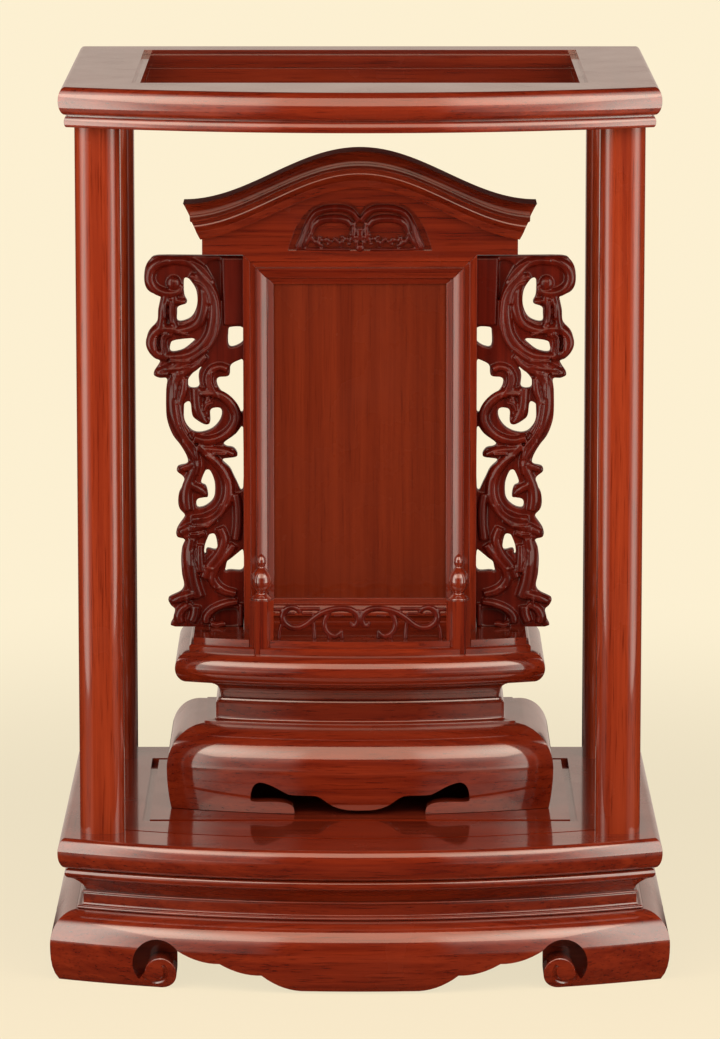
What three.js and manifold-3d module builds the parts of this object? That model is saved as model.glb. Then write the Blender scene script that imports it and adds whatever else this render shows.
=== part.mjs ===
// Ancestor shrine: an open lacquered rosewood case on scroll feet, with a loose tablet standing inside it.
// Millimetres, +X to the right, +Y to the back, +Z up. The origin is under the middle of the whole object.

import * as THREE from 'three';
import { mergeVertices } from 'three/addons/utils/BufferGeometryUtils.js';
import Module from 'manifold-3d';

const wasm = await Module();
wasm.setup();

// Driving sizes of the case

const caseWidth = 412;
const caseDepth = 300;
const frontBow = 40;
const skirtHeight = 48;
const waistHeight = 30.5;
const floorThickness = 21;
const postLength = 493;
const topThickness = 27.5;

const skirtThickness = 18;
const skirtProud = 8.8;
const skirtTopSetBack = 9.5;
const skirtWidestHeight = 25;
const skirtTuckHeight = 9.6;
const skirtTuck = 1.5;
const skirtBaseTuck = 6;
const footScroll = { fromEdge: 66.5, height: 17.3, radius: 17.5, from: 222, to: 37 };
const footDisc = { fromEdge: 68.6, radius: 11 };
const footBlindFront = 13;
const apronLobes = [
  { fromEdge: 109.4, height: 20.2 },
  { fromEdge: 138.3, height: 12.9 },
  { fromEdge: 169.3, height: 1.6 },
];
const lobeDip = 0.8;
const waistThickness = 22;
const waistSetBack = 15.8;
const waistTopSetBack = 1.4;
const beadHeight = 8;
const beadBulge = 4;

const floorSideRail = 53.6;
const floorFrontRail = 53;
const floorRearRail = 41;
const floorTorusBulge = 3.3;
const floorTorusDepth = 5.5;
const quirkSetBack = 38;
const quirkWidth = 2.4;
const quirkDepth = 1.6;
const panelGroove = 5;
const panelThickness = 12;
const tongueReach = 8;
const tongueThickness = 6;
const tongueDrop = 4;

const postSize = 31;
const postRounding = 10.5;
const postSideInset = 11.4;
const postFrontInset = 13;
const tenonSize = 16;
const tenonLength = 12;

const topSetBack = 6.4;
const topSideRail = 55;
const topFrontRail = 36;
const topRearRail = 38;
const topTorusBulge = 5;
const topTorusHeight = 19;
const topQuirkDepth = 1.6;
const topQuirkHeight = 1.2;
const topBeadSetBack = 0.6;
const topBeadBulge = 1.7;
const rebateWidth = 4.5;
const rebateDepth = 3.4;
const innerLineDrop = 12;
const innerLineSize = 1;

const glueBlock = 16;
const glueBlockHeight = 33.6;

// Driving sizes of the tablet

const pedestalWidth = 273;
const pedestalDepth = 128;
const pedestalSetBack = 6;
const pedestalBow = 23;
const pedestalSkirtHeight = 58;
const pedestalSkirtThickness = 14;
const pedestalShoulder = 26;
const pedestalShoulderBase = 29;
const pedestalTuckHeight = 14.5;
const pedestalTuck = 0.8;
const pedestalBaseTuck = 3;
const pedestalFootLength = 59.5;
const pedestalWaistHeight = 27;
const pedestalWaistInset = 38;
const pedestalWaistThickness = 16;
const tableHeight = 26;
const tableInset = 6;
const tableTorusRise = 11;
const tableTorusReach = 10;
const tableUnderCut = 16;
const tableFootInset = 32;
const tableLip = 3;
const plinthHeight = 9.5;
const plinthInset = 16;
const plinthStep = 3;

const frameHalfWidth = 82.4;
const frameHeight = 268;
const frameBandWidth = 21.4;
const frameDepth = 15.5;
const panelBackDepth = 5.7;
const panelRebate = 6.4;
const backboardThickness = 5;

const tympanumHalfWidth = 111;
const tympanumProud = 15;
const corniceHalfWidth = 124;
const corniceEndHeight = 37;
const corniceRise = 37;
const corniceProjection = 32;
const corniceHeight = 26;
const corniceSlant = 12;
const corniceCapHeight = 12;
const corniceCoveHeight = 7.8;
const corniceCoveSetBack = 9;
const corniceFilletSetBack = 6;
const carvingThickness = 4;
const carvingRise = 3;

const wingReach = 70;
const wingThickness = 12;
const wingFront = 10;

const railPostSize = 17;
const railPostHeight = 38;
const railPostChamfer = 4.5;
const railPostHalfSpacing = 69.3;
const railPostSetBack = 22.5;
const finialHeight = 33;
const railPanelHeight = 25;
const railPanelThickness = 7;

// Drawn curves

// Cove of the waist under its bead, as [outward from the narrowest line, share of the waist's height]
const waistCove = [[5, 0.62], [1.4, 0.52], [0, 0.42], [2.8, 0.37], [3.6, 0.2]];

// Cove of the pedestal's waist, as [outward from the narrowest line, share of the waist's height]
const pedestalCove = [[5, 1], [1, 0.81], [0, 0.63], [2.5, 0.48], [3.5, 0.33], [9, 0.15]];

// Space under the pedestal's front board, from toe to middle, as [share of its half width, height]
const pedestalArchEdge = [
  [0.6, 0], [0.6, 2], [0.617, 5.5], [0.675, 7.8], [0.78, 8.6], [0.982, 8.2], [1, 12], [0.985, 18],
  [0.948, 21.5], [0.896, 22.3], [0.8, 20], [0.675, 15], [0.61, 13.8], [0.415, 13.5], [0.34, 11], [0.25, 6.3],
  [0.13, 3.5], [0, 3],
];

// Moulding of the tablet's frame, as [inward from its outer edge, drop from its highest line]
const frameSteps = [
  [0, 1.5], [4.8, 1.5], [5.2, 3], [9.2, 3.3], [9.6, 0], [16.8, 3], [17.4, 5.5], [frameBandWidth, 6.5],
];

// Turned finial, as [radius, share of its height]
const finialProfile = [
  [7, 0], [7.4, 0.05], [5.2, 0.1], [3.6, 0.16], [5.6, 0.24], [6.9, 0.34], [7.1, 0.44], [6.2, 0.55],
  [4, 0.64], [2.4, 0.7], [3.1, 0.78], [3.3, 0.84], [2.6, 0.93], [0, 1],
];

// Openings of the railing panel, as centres and half sizes
const railHoles = [
  { x: 12, z: 13, rx: 7.5, rz: 5.5 }, { x: 31, z: 15.5, rx: 7, rz: 4.5 }, { x: 49, z: 13, rx: 7, rz: 5.5 },
];

// Half of the carving on the tympanum, as [outward from the middle, height]
const carvingOutline = [
  [0, 2], [8, 6], [16, 3], [26, 8], [34, 4], [44, 7], [51, 14], [50, 23], [43, 28], [35, 26],
  [27, 31], [17, 29], [9, 33], [0, 30],
];

// Wing, as [outward from the frame, height above the plinth], stretched to the reach and the frame's height
const wingEdge = [
  [34, 267.7], [60, 267.7], [67, 262], [70, 250], [68, 243], [59, 239], [60, 230], [60, 219], [67, 212],
  [69, 203], [66, 197], [59, 193], [63, 184], [58, 180], [54, 179], [54, 158], [49, 142], [43, 129],
  [39, 120], [46, 116], [42, 108], [46, 96], [45, 87], [40, 82], [46, 74], [47, 68], [41, 65],
  [43, 50], [41, 33], [50, 25], [47, 16], [48, 8], [40, 0],
];
const wingHoles = [
  [[42, 252], [38, 248], [34, 240], [34, 230], [38, 222], [45, 220], [45, 229], [40, 234], [42, 240]],
  [[52, 209], [34, 210], [41, 201], [52, 200]],
  [[21, 196], [29, 186], [31, 175], [37, 175], [36, 184], [24, 197]],
  [
    [42, 164], [35, 163], [34, 153], [30, 150], [25, 152], [20, 160], [16, 158], [18, 148], [25, 142],
    [35, 144], [41, 152],
  ],
  [[26, 115], [21, 108], [19, 96], [23, 90], [32, 87], [32, 94], [24, 95], [25, 103], [29, 107]],
  [[25, 68], [19, 68], [20, 58], [27, 56]],
  [[1.5, 216], [10, 217], [10, 204], [1.5, 208]],
  [[1.5, 189], [11, 190], [12, 181], [18, 176], [17, 171], [6, 160], [1.5, 154]],
  [[1.5, 144], [7, 140], [12, 132], [4, 126], [14, 120], [6, 108], [1.5, 99]],
  [[1.5, 57], [10, 48], [16, 37], [10, 41], [1.5, 42]],
  [[2.5, 18], [20, 16], [19, 9], [15, 6], [14, 0.8], [2.5, 0.8]],
];

// Clearances, and how far cutters and joined blocks run past a face

const fitGap = 0.3;
const overcut = 1;
const joinOverlap = 0.01;
const mouldingOverrun = 40;
const mitreDepth = 50;
const bowSteps = 20;

// Heights worked out from the sizes

const waistBase = skirtHeight;
const floorBase = waistBase + waistHeight;
const floorTop = floorBase + floorThickness;
const topBase = floorTop + postLength;
const overallHeight = topBase + topThickness;
const tabletBase = floorTop + fitGap;
const pedestalWaistBase = tabletBase + pedestalSkirtHeight;
const tableBase = pedestalWaistBase + pedestalWaistHeight;
const tableTop = tableBase + tableHeight;
const plinthTop = tableTop + plinthHeight;
const frameTop = plinthTop + frameHeight;

// Finishes

const lacquer = { color: 0x6a1a0c, roughness: 0.18, metalness: 0 };
const darkLacquer = { color: 0x3c0a06, roughness: 0.28, metalness: 0 };
const plainWood = { color: 0x7a3a20, roughness: 0.6, metalness: 0 };

// From a three.js geometry to a solid, and back

function signedVolume(positions, index) {
  const a = new THREE.Vector3();
  const b = new THREE.Vector3();
  const c = new THREE.Vector3();
  let volume = 0;
  for (let i = 0; i < index.length; i += 3) {
    a.fromArray(positions, index[i] * 3);
    b.fromArray(positions, index[i + 1] * 3);
    c.fromArray(positions, index[i + 2] * 3);
    volume += a.dot(b.cross(c)) / 6;
  }
  return volume;
}

function solid(geometry) {
  const bare = geometry.clone();
  bare.deleteAttribute('normal');
  bare.deleteAttribute('uv');
  const merged = mergeVertices(bare, 1e-4);
  const vertProperties = Float32Array.from(merged.attributes.position.array);
  const triVerts = Uint32Array.from(merged.index.array);
  if (signedVolume(vertProperties, triVerts) < 0) {
    for (let i = 0; i < triVerts.length; i += 3) {
      [triVerts[i], triVerts[i + 1]] = [triVerts[i + 1], triVerts[i]];
    }
  }
  return new wasm.Manifold(new wasm.Mesh({ numProp: 3, vertProperties, triVerts }));
}

function geometryOf(body) {
  const mesh = body.getMesh();
  const geometry = new THREE.BufferGeometry();
  geometry.setAttribute('position', new THREE.BufferAttribute(Float32Array.from(mesh.vertProperties), 3));
  geometry.setIndex(new THREE.BufferAttribute(Uint32Array.from(mesh.triVerts), 1));
  return geometry;
}

// Basic solids

function block(x0, x1, y0, y1, z0, z1) {
  const geometry = new THREE.BoxGeometry(x1 - x0, y1 - y0, z1 - z0);
  geometry.translate((x0 + x1) / 2, (y0 + y1) / 2, (z0 + z1) / 2);
  return solid(geometry);
}

// A plan outline, raised from z0 to z1
function plate(shape, z0, z1, curveSegments = 8) {
  const geometry = new THREE.ExtrudeGeometry(shape, { depth: z1 - z0, bevelEnabled: false, curveSegments });
  geometry.translate(0, 0, z0);
  return solid(geometry);
}

// A front elevation outline, in X and Z, from y0 back to y1
function board(shape, y0, y1, curveSegments = 8) {
  const geometry = new THREE.ExtrudeGeometry(shape, { depth: y1 - y0, bevelEnabled: false, curveSegments });
  geometry.rotateX(Math.PI / 2);
  geometry.translate(0, y1, 0);
  return solid(geometry);
}

// A side elevation outline, in Y and Z, from x0 to x1
function sideBoard(shape, x0, x1, curveSegments = 8) {
  const geometry = new THREE.ExtrudeGeometry(shape, { depth: x1 - x0, bevelEnabled: false, curveSegments });
  geometry.rotateX(Math.PI / 2);
  geometry.rotateZ(Math.PI / 2);
  geometry.translate(x0, 0, 0);
  return solid(geometry);
}

function outline(points) {
  return new THREE.Shape(points.map(([x, y]) => new THREE.Vector2(x, y)));
}

// A moulding's section, given as [outward, height] points, run along a level path whose left side is inward
function moulding(path, section, steps) {
  const shape = outline(section.map(([out, height]) => [-height, -out]));
  return solid(new THREE.ExtrudeGeometry(shape, { steps, bevelEnabled: false, extrudePath: path }));
}

// Points of an elliptical arc of a section, from one angle to another in degrees
function bulge(out, height, reach, rise, from, to, count) {
  return Array.from({ length: count + 1 }, (_, i) => {
    const angle = THREE.MathUtils.degToRad(from + ((to - from) * i) / count);
    return [out + reach * Math.cos(angle), height + rise * Math.sin(angle)];
  });
}

// A ring of four boards in plan: the front may be bowed, and the corners are mitred

class BowedEdge extends THREE.Curve {
  constructor(halfWidth, frontY, bow, overrun) {
    super();
    this.radius = (halfWidth * halfWidth + bow * bow) / (2 * bow);
    this.centreY = frontY - bow + this.radius;
    this.reach = Math.asin(halfWidth / this.radius) + overrun / this.radius;
  }

  getPoint(t, target = new THREE.Vector3()) {
    const angle = (2 * t - 1) * this.reach;
    return target.set(this.radius * Math.sin(angle), this.centreY - this.radius * Math.cos(angle), 0);
  }
}

function ring(halfWidth, frontY, rearY, bow) {
  const over = mouldingOverrun;
  const bowAngle = bow > 0 ? Math.asin(halfWidth / new BowedEdge(halfWidth, frontY, bow, 0).radius) : 0;
  const mitreSlope = Math.tan(Math.PI / 4 - bowAngle / 2);
  const at = (x, y) => new THREE.Vector3(x, y, 0);
  const line = (x0, y0, x1, y1) => new THREE.LineCurve3(at(x0, y0), at(x1, y1));
  const paths = {
    front: bow > 0
      ? new BowedEdge(halfWidth, frontY, bow, over)
      : line(-halfWidth - over, frontY, halfWidth + over, frontY),
    right: line(halfWidth, frontY - over, halfWidth, rearY + over),
    rear: line(halfWidth + over, rearY, -halfWidth - over, rearY),
    left: line(-halfWidth, rearY + over, -halfWidth, frontY - over),
  };

  // Plan areas of the four boards round an opening; the side boards stay a joint's width short of the mitres
  function areas(openHalf, openFront, openRear) {
    const far = over;
    const area = (side) => [
      [side * (halfWidth + far), frontY - far * mitreSlope + fitGap],
      [side * (halfWidth + far), rearY + far - fitGap],
      [side * halfWidth, rearY - fitGap],
      [side * openHalf, openRear - fitGap],
      [side * openHalf, openFront + fitGap],
      [side * halfWidth, frontY + fitGap],
    ];
    return {
      front: [
        [-halfWidth - far, frontY - far * mitreSlope],
        [0, frontY - bow - 2 * far],
        [halfWidth + far, frontY - far * mitreSlope],
        [halfWidth, frontY],
        [openHalf, openFront],
        [-openHalf, openFront],
        [-halfWidth, frontY],
      ],
      right: area(1),
      left: area(-1),
      rear: [
        [halfWidth + far, rearY + far],
        [-halfWidth - far, rearY + far],
        [-halfWidth, rearY],
        [-openHalf, openRear],
        [openHalf, openRear],
        [halfWidth, rearY],
      ],
    };
  }

  // The plan of the whole ring without its opening, grown outwards by some amount
  function wholePlan(grow) {
    const shape = new THREE.Shape();
    shape.moveTo(-halfWidth - grow, rearY + grow);
    shape.lineTo(halfWidth + grow, rearY + grow);
    if (bow > 0) {
      const edge = new BowedEdge(halfWidth, frontY, bow, 0);
      const radius = edge.radius + grow;
      const reach = Math.asin((halfWidth + grow) / radius);
      shape.absarc(0, edge.centreY, radius, reach - Math.PI / 2, -reach - Math.PI / 2, true);
    } else {
      shape.lineTo(halfWidth + grow, frontY - grow);
      shape.lineTo(-halfWidth - grow, frontY - grow);
    }
    return shape;
  }

  // An opening some depth inside the ring, so that the boards' mitres run straight to it
  const within = (depth) => ({
    half: halfWidth - depth,
    front: frontY + depth * mitreSlope,
    rear: rearY - depth,
  });

  return { paths, areas, wholePlan, within };
}

const sides = ['front', 'left', 'right', 'rear'];

// Runs one section round a ring and cuts it into four mitred boards
function mitredBoards(plan, section, depth) {
  const open = plan.within(depth);
  const areas = plan.areas(open.half, open.front, open.rear);
  const low = Math.min(...section.map((point) => point[1])) - overcut;
  const high = Math.max(...section.map((point) => point[1])) + overcut;
  return Object.fromEntries(sides.map((side) => {
    const steps = side === 'front' && plan.paths.front instanceof BowedEdge ? bowSteps : 1;
    const run = moulding(plan.paths[side], section, steps);
    return [side, run.intersect(plate(outline(areas[side]), low, high))];
  }));
}

// Flat rails round an opening, with an edge moulding, as four mitred boards
function mitredRails(plan, edgeSection, z0, z1, open, edgeSetBack) {
  const areas = plan.areas(open.half, open.front, open.rear);
  return Object.fromEntries(sides.map((side) => {
    const steps = side === 'front' && plan.paths.front instanceof BowedEdge ? bowSteps : 1;
    const flat = plate(plan.wholePlan(-edgeSetBack), z0, z1, bowSteps);
    const edge = moulding(plan.paths[side], edgeSection, steps);
    const area = plate(outline(areas[side]), z0 - overcut, z1 + overcut);
    return [side, flat.add(edge).intersect(area)];
  }));
}

// The object and its pieces

const object = new THREE.Group();
object.position.y = frontBow / 2;
const tablet = new THREE.Group();
object.add(tablet);

function piece(group, name, body, finish) {
  const mesh = new THREE.Mesh(geometryOf(body), new THREE.MeshStandardMaterial(finish));
  mesh.name = name;
  group.add(mesh);
}

const caseHalf = caseWidth / 2;
const caseFront = -caseDepth / 2;
const caseRear = caseDepth / 2;
const casePlan = ring(caseHalf, caseFront, caseRear, frontBow);

// Skirt boards with scroll feet

// The open space under one skirt board: scroll, volute and scalloped apron, from foot to foot
function underSkirt(halfLength, lobes) {
  const half = (side) => {
    const path = new THREE.Shape();
    const scrollX = -halfLength + footScroll.fromEdge;
    const discX = -halfLength + footDisc.fromEdge;
    const disc = footDisc.radius;
    const from = THREE.MathUtils.degToRad(footScroll.from);
    const to = THREE.MathUtils.degToRad(footScroll.to);
    path.moveTo(discX, -overcut);
    path.lineTo(discX, 0);
    path.absarc(discX, disc, disc, -Math.PI / 2, 0, false);
    path.absarc(discX, disc, disc, 0, Math.PI, false);
    path.lineTo(
      scrollX + footScroll.radius * Math.cos(from),
      footScroll.height + footScroll.radius * Math.sin(from),
    );
    path.absarc(scrollX, footScroll.height, footScroll.radius, from, to, true);
    let x = scrollX + footScroll.radius * Math.cos(to);
    for (const lobe of lobes) {
      const next = -halfLength + lobe.fromEdge;
      path.quadraticCurveTo((x + next) / 2, lobe.height - lobeDip, next, lobe.height);
      x = next;
    }
    path.lineTo(0, lobes.at(-1).height);
    path.lineTo(0, -overcut);
    return outline(path.getPoints(5).map((point) => [side * point.x, point.y]));
  };
  return [half(-1), half(1)];
}

const skirtBulge = skirtProud + skirtTopSetBack;
const skirtSection = [
  ...bulge(-skirtTopSetBack, skirtWidestHeight, skirtBulge, skirtHeight - skirtWidestHeight, 90, 0, 5),
  [skirtProud - skirtTuck, skirtTuckHeight],
  [skirtProud - skirtBaseTuck, 0],
  [-skirtThickness, 0],
  [-skirtThickness, skirtHeight],
];
const skirts = mitredBoards(casePlan, skirtSection, mouldingOverrun);
const sideLobes = apronLobes.slice(0, 2);

// Cuts one board: the hollow behind each scroll is blind, and the space between the toes passes right through
function cutFeet(skirt, halfLength, lobes, cutter, outer, blind, inner) {
  const reach = halfLength - footDisc.fromEdge - footDisc.radius;
  const right = [
    [reach + footDisc.radius, -overcut],
    [reach + footDisc.radius, 0],
    [reach, footDisc.radius],
    [reach, skirtHeight],
  ];
  const between = outline([...right, ...right.map(([x, z]) => [-x, z]).reverse()]);
  const cut = (shape, to) => cutter(shape, Math.min(outer, to), Math.max(outer, to));
  let result = skirt;
  for (const hole of underSkirt(halfLength, lobes)) {
    result = result.subtract(cut(hole, blind));
    result = result.subtract(cut(hole, inner).intersect(cut(between, inner)));
  }
  return result;
}

const blindX = caseHalf - skirtThickness / 2;
const blindRear = caseRear - skirtThickness / 2;
skirts.front = cutFeet(skirts.front, caseHalf, apronLobes, board, -caseDepth, caseFront - footBlindFront, 0);
skirts.rear = cutFeet(skirts.rear, caseHalf, sideLobes, board, caseDepth, blindRear, 0);
skirts.left = cutFeet(skirts.left, caseDepth / 2, sideLobes, sideBoard, -caseWidth, -blindX, 0);
skirts.right = cutFeet(skirts.right, caseDepth / 2, sideLobes, sideBoard, caseWidth, blindX, 0);
for (const side of sides) {
  piece(object, `skirt_${side}`, skirts[side], lacquer);
}

// Coved waist under the floor

const beadBack = waistTopSetBack + beadBulge;
const waistFoot = skirtTopSetBack + fitGap;
const waistInside = waistSetBack + waistThickness;
const waistSection = [
  [-beadBack, floorBase],
  ...bulge(-beadBack, floorBase - beadHeight / 2, beadBulge, beadHeight / 2 - fitGap, 80, -80, 6),
  [-beadBack, floorBase - beadHeight],
  ...waistCove.map(([out, share]) => [out - waistSetBack, waistBase + share * waistHeight]),
  [-waistFoot, waistBase + 1.6],
  [-waistFoot, waistBase],
  [-waistInside, waistBase],
  [-waistInside, floorBase],
];
const waists = mitredBoards(casePlan, waistSection, mouldingOverrun);
for (const side of sides) {
  piece(object, `waist_${side}`, waists[side], lacquer);
}

// Glue blocks in the corners behind the skirt

for (const [sideX, across] of [[-1, 'left'], [1, 'right']]) {
  for (const [y, reach, along] of [
    [caseFront + skirtThickness, 1, 'front'],
    [caseRear - skirtThickness, -1, 'rear'],
  ]) {
    const x = sideX * (caseHalf - skirtThickness - fitGap);
    const far = x - sideX * glueBlock;
    const near = y + reach * fitGap;
    const deep = near + reach * glueBlock;
    piece(object, `corner_block_${along}_${across}`, block(
      Math.min(x, far), Math.max(x, far), Math.min(near, deep), Math.max(near, deep),
      skirtHeight - glueBlockHeight, skirtHeight,
    ), plainWood);
  }
}

// Floor frame with its half-round edge, and the floating floor panel

const floorOpen = {
  half: caseHalf - floorSideRail,
  front: caseFront + floorFrontRail,
  rear: caseRear - floorRearRail,
};
const floorMid = (floorTop + floorBase) / 2;
const floorEdge = [
  [-quirkSetBack / 2, floorTop],
  ...bulge(floorTorusBulge - floorTorusDepth, floorMid, floorTorusDepth, floorThickness / 2, 90, -90, 9),
  [-quirkSetBack / 2, floorBase],
];
const floorRails = mitredRails(casePlan, floorEdge, floorBase, floorTop, floorOpen, quirkSetBack / 3);
const quirkSection = [
  [-quirkSetBack, floorTop + overcut],
  [-quirkSetBack, floorTop - quirkDepth],
  [-quirkSetBack - quirkWidth, floorTop - quirkDepth],
  [-quirkSetBack - quirkWidth, floorTop + overcut],
];
floorRails.front = floorRails.front.subtract(moulding(casePlan.paths.front, quirkSection, bowSteps));
const tongueTop = floorTop - tongueDrop;
const tongueBase = tongueTop - tongueThickness;
const tongueSlot = block(
  -floorOpen.half - tongueReach - fitGap, floorOpen.half + tongueReach + fitGap,
  floorOpen.front - tongueReach - fitGap, floorOpen.rear + tongueReach + fitGap,
  tongueBase - fitGap, tongueTop + fitGap,
);

// Posts, with tenons into the floor frame and the top frame

const postPlaces = [];
for (const [sideX, across] of [[-1, 'left'], [1, 'right']]) {
  for (const [y, along] of [
    [caseFront + postFrontInset, 'front'],
    [caseRear - postFrontInset - postSize, 'rear'],
  ]) {
    const x = sideX < 0 ? -caseHalf + postSideInset : caseHalf - postSideInset - postSize;
    postPlaces.push({ name: `post_${along}_${across}`, x, y });
  }
}

function roundedSquare(x, y, size, r) {
  const shape = new THREE.Shape();
  shape.moveTo(x + r, y);
  shape.lineTo(x + size - r, y);
  shape.absarc(x + size - r, y + r, r, -Math.PI / 2, 0, false);
  shape.lineTo(x + size, y + size - r);
  shape.absarc(x + size - r, y + size - r, r, 0, Math.PI / 2, false);
  shape.lineTo(x + r, y + size);
  shape.absarc(x + r, y + size - r, r, Math.PI / 2, Math.PI, false);
  shape.lineTo(x, y + r);
  shape.absarc(x + r, y + r, r, Math.PI, Math.PI * 1.5, false);
  return shape;
}

function tenon(place, grow, z0, z1) {
  const inset = (postSize - tenonSize) / 2 - grow;
  return block(
    place.x + inset, place.x + postSize - inset,
    place.y + inset, place.y + postSize - inset, z0, z1,
  );
}

for (const place of postPlaces) {
  const shaft = plate(roundedSquare(place.x, place.y, postSize, postRounding), floorTop, topBase, 3);
  const whole = shaft.add(tenon(place, 0, floorTop - tenonLength, topBase + tenonLength));
  piece(object, place.name, whole, lacquer);
}

// A mortise opens downwards for the floor frame, or stays inside the top frame
function cutMortises(body, z0, z1) {
  return postPlaces.reduce((rest, place) => rest.subtract(tenon(place, fitGap, z0, z1)), body);
}

for (const side of sides) {
  const slotted = floorRails[side].subtract(tongueSlot);
  const joined = cutMortises(slotted, floorTop - tenonLength - fitGap, floorTop + overcut);
  piece(object, `floor_rail_${side}`, joined, lacquer);
}

const floorField = block(
  -floorOpen.half + panelGroove, floorOpen.half - panelGroove,
  floorOpen.front + panelGroove, floorOpen.rear - panelGroove,
  floorTop - panelThickness, floorTop,
);
const floorTongue = block(
  -floorOpen.half - tongueReach, floorOpen.half + tongueReach,
  floorOpen.front - tongueReach, floorOpen.rear + tongueReach,
  tongueBase, tongueTop,
);
piece(object, 'floor_panel', floorField.add(floorTongue), lacquer);

// Top frame: half-round edge over a small bead, and a rebated open window

const topOpen = {
  half: caseHalf - topSideRail,
  front: caseFront + topFrontRail,
  rear: caseRear - topRearRail,
};
const topTorusMid = overallHeight - topTorusHeight / 2;
const topQuirk = overallHeight - topTorusHeight;
const topBead = topQuirk - topQuirkHeight - topBase;
const topBeadBack = topSetBack + topBeadSetBack;
const topEdgeInner = topFrontRail / 2;
const topEdge = [
  [-topEdgeInner, overallHeight],
  ...bulge(-topSetBack, topTorusMid, topTorusBulge, topTorusHeight / 2, 90, -90, 8),
  [-topSetBack - topQuirkDepth, topQuirk],
  [-topSetBack - topQuirkDepth, topQuirk - topQuirkHeight],
  ...bulge(-topBeadBack, topBase + topBead / 2, topBeadBulge, topBead / 2, 80, -80, 4),
  [-topBeadBack, topBase],
  [-topEdgeInner, topBase],
];
const topFlatSetBack = (topBeadBack + topEdgeInner) / 2;
const topRails = mitredRails(casePlan, topEdge, topBase, overallHeight, topOpen, topFlatSetBack);

// A block as wide as the top's opening, grown into the rails all round
function windowBlock(grow, z0, z1) {
  return block(
    -topOpen.half - grow, topOpen.half + grow, topOpen.front - grow, topOpen.rear + grow, z0, z1,
  );
}

const rebate = windowBlock(rebateWidth, overallHeight - rebateDepth, overallHeight + overcut);
const innerLineTop = overallHeight - innerLineDrop;
const innerLine = windowBlock(innerLineSize, innerLineTop - innerLineSize, innerLineTop);
for (const side of sides) {
  const rail = topRails[side].subtract(rebate).subtract(innerLine);
  const joined = cutMortises(rail, topBase - overcut, topBase + tenonLength + fitGap);
  piece(object, `top_rail_${side}`, joined, lacquer);
}

// Pedestal of the tablet: skirt, coved waist and table board

const pedestalHalf = pedestalWidth / 2;
const pedestalFront = pedestalSetBack - pedestalDepth / 2;
const pedestalRear = pedestalFront + pedestalDepth;
const pedestalPlan = ring(pedestalHalf, pedestalFront, pedestalRear, pedestalBow);
const shoulderRise = pedestalSkirtHeight - pedestalShoulderBase;
const shoulderInside = pedestalShoulder + pedestalSkirtThickness / 2;
const pedestalSkirtSection = [
  [-pedestalShoulder, pedestalWaistBase],
  ...bulge(-pedestalShoulder, tabletBase + pedestalShoulderBase, pedestalShoulder, shoulderRise, 75, 0, 5),
  [-pedestalTuck, tabletBase + pedestalTuckHeight],
  [-pedestalBaseTuck, tabletBase],
  [-pedestalSkirtThickness, tabletBase],
  [-pedestalSkirtThickness, tabletBase + pedestalShoulderBase],
  [-shoulderInside, pedestalWaistBase - pedestalSkirtThickness],
  [-shoulderInside, pedestalWaistBase],
];
const pedestalSkirts = mitredBoards(pedestalPlan, pedestalSkirtSection, mitreDepth);

// The cut-out under the pedestal's front board, between its feet and over their toes
function pedestalArch() {
  const archHalf = pedestalHalf - pedestalFootLength;
  const drawn = pedestalArchEdge.map(([share, height]) => [share * archHalf, height]);
  const half = [[drawn[0][0], -overcut], ...drawn.slice(1)];
  const left = half.map(([x, z]) => [-x, tabletBase + z]);
  const right = half.slice(0, -1).reverse().map(([x, z]) => [x, tabletBase + z]);
  return outline([...left, ...right]);
}

pedestalSkirts.front = pedestalSkirts.front.subtract(board(pedestalArch(), -pedestalDepth, 0));
for (const side of sides) {
  piece(tablet, `pedestal_skirt_${side}`, pedestalSkirts[side], lacquer);
}

const pedestalWaistInside = pedestalWaistInset + pedestalWaistThickness;
const pedestalWaistSection = [
  ...pedestalCove.map(([out, share]) => [
    out - pedestalWaistInset, pedestalWaistBase + share * pedestalWaistHeight,
  ]),
  [-pedestalShoulder - fitGap, pedestalWaistBase],
  [-pedestalWaistInside, pedestalWaistBase],
  [-pedestalWaistInside, tableBase],
];
const pedestalWaists = mitredBoards(pedestalPlan, pedestalWaistSection, mitreDepth);
for (const side of sides) {
  piece(tablet, `pedestal_waist_${side}`, pedestalWaists[side], lacquer);
}

const tableTorusMid = tableTop - tableTorusRise;
const tableTorusBack = tableInset + tableTorusReach;
const tableEdgeDepth = tableInset + pedestalWaistInset;
const tableSection = [
  [-tableEdgeDepth, tableTop],
  ...bulge(-tableTorusBack, tableTorusMid, tableTorusReach, tableTorusRise, 90, -70, 8),
  [-tableInset - tableUnderCut, tableTorusMid - tableTorusRise],
  [-tableFootInset, tableBase + tableLip],
  [-tableFootInset, tableBase],
  [-tableEdgeDepth, tableBase],
];
const tableCore = plate(pedestalPlan.wholePlan(overcut - tableEdgeDepth), tableBase, tableTop, bowSteps);
const tableOpen = pedestalPlan.within(mitreDepth);
const tableAreas = pedestalPlan.areas(tableOpen.half, tableOpen.front, tableOpen.rear);

// The table is one board, so its edge mouldings run into each other at the corners
const wholeTable = sides.reduce((whole, side) => {
  const edge = moulding(pedestalPlan.paths[side], tableSection, side === 'front' ? bowSteps : 1);
  const across = side === 'left' || side === 'right' ? fitGap + joinOverlap : 0;
  const grown = tableAreas[side].map(([x, y]) => [x, y < 0 ? y - across : y + across]);
  const area = plate(outline(grown), tableBase - overcut, tableTop + overcut);
  return whole.add(edge.intersect(area));
}, tableCore);
piece(tablet, 'pedestal_table', wholeTable, lacquer);

// Plinth, notched round the railing posts

const plinthStepTop = tableTop + plinthHeight / 2;
const railPostFront = pedestalFront - pedestalBow + railPostSetBack;

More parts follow.
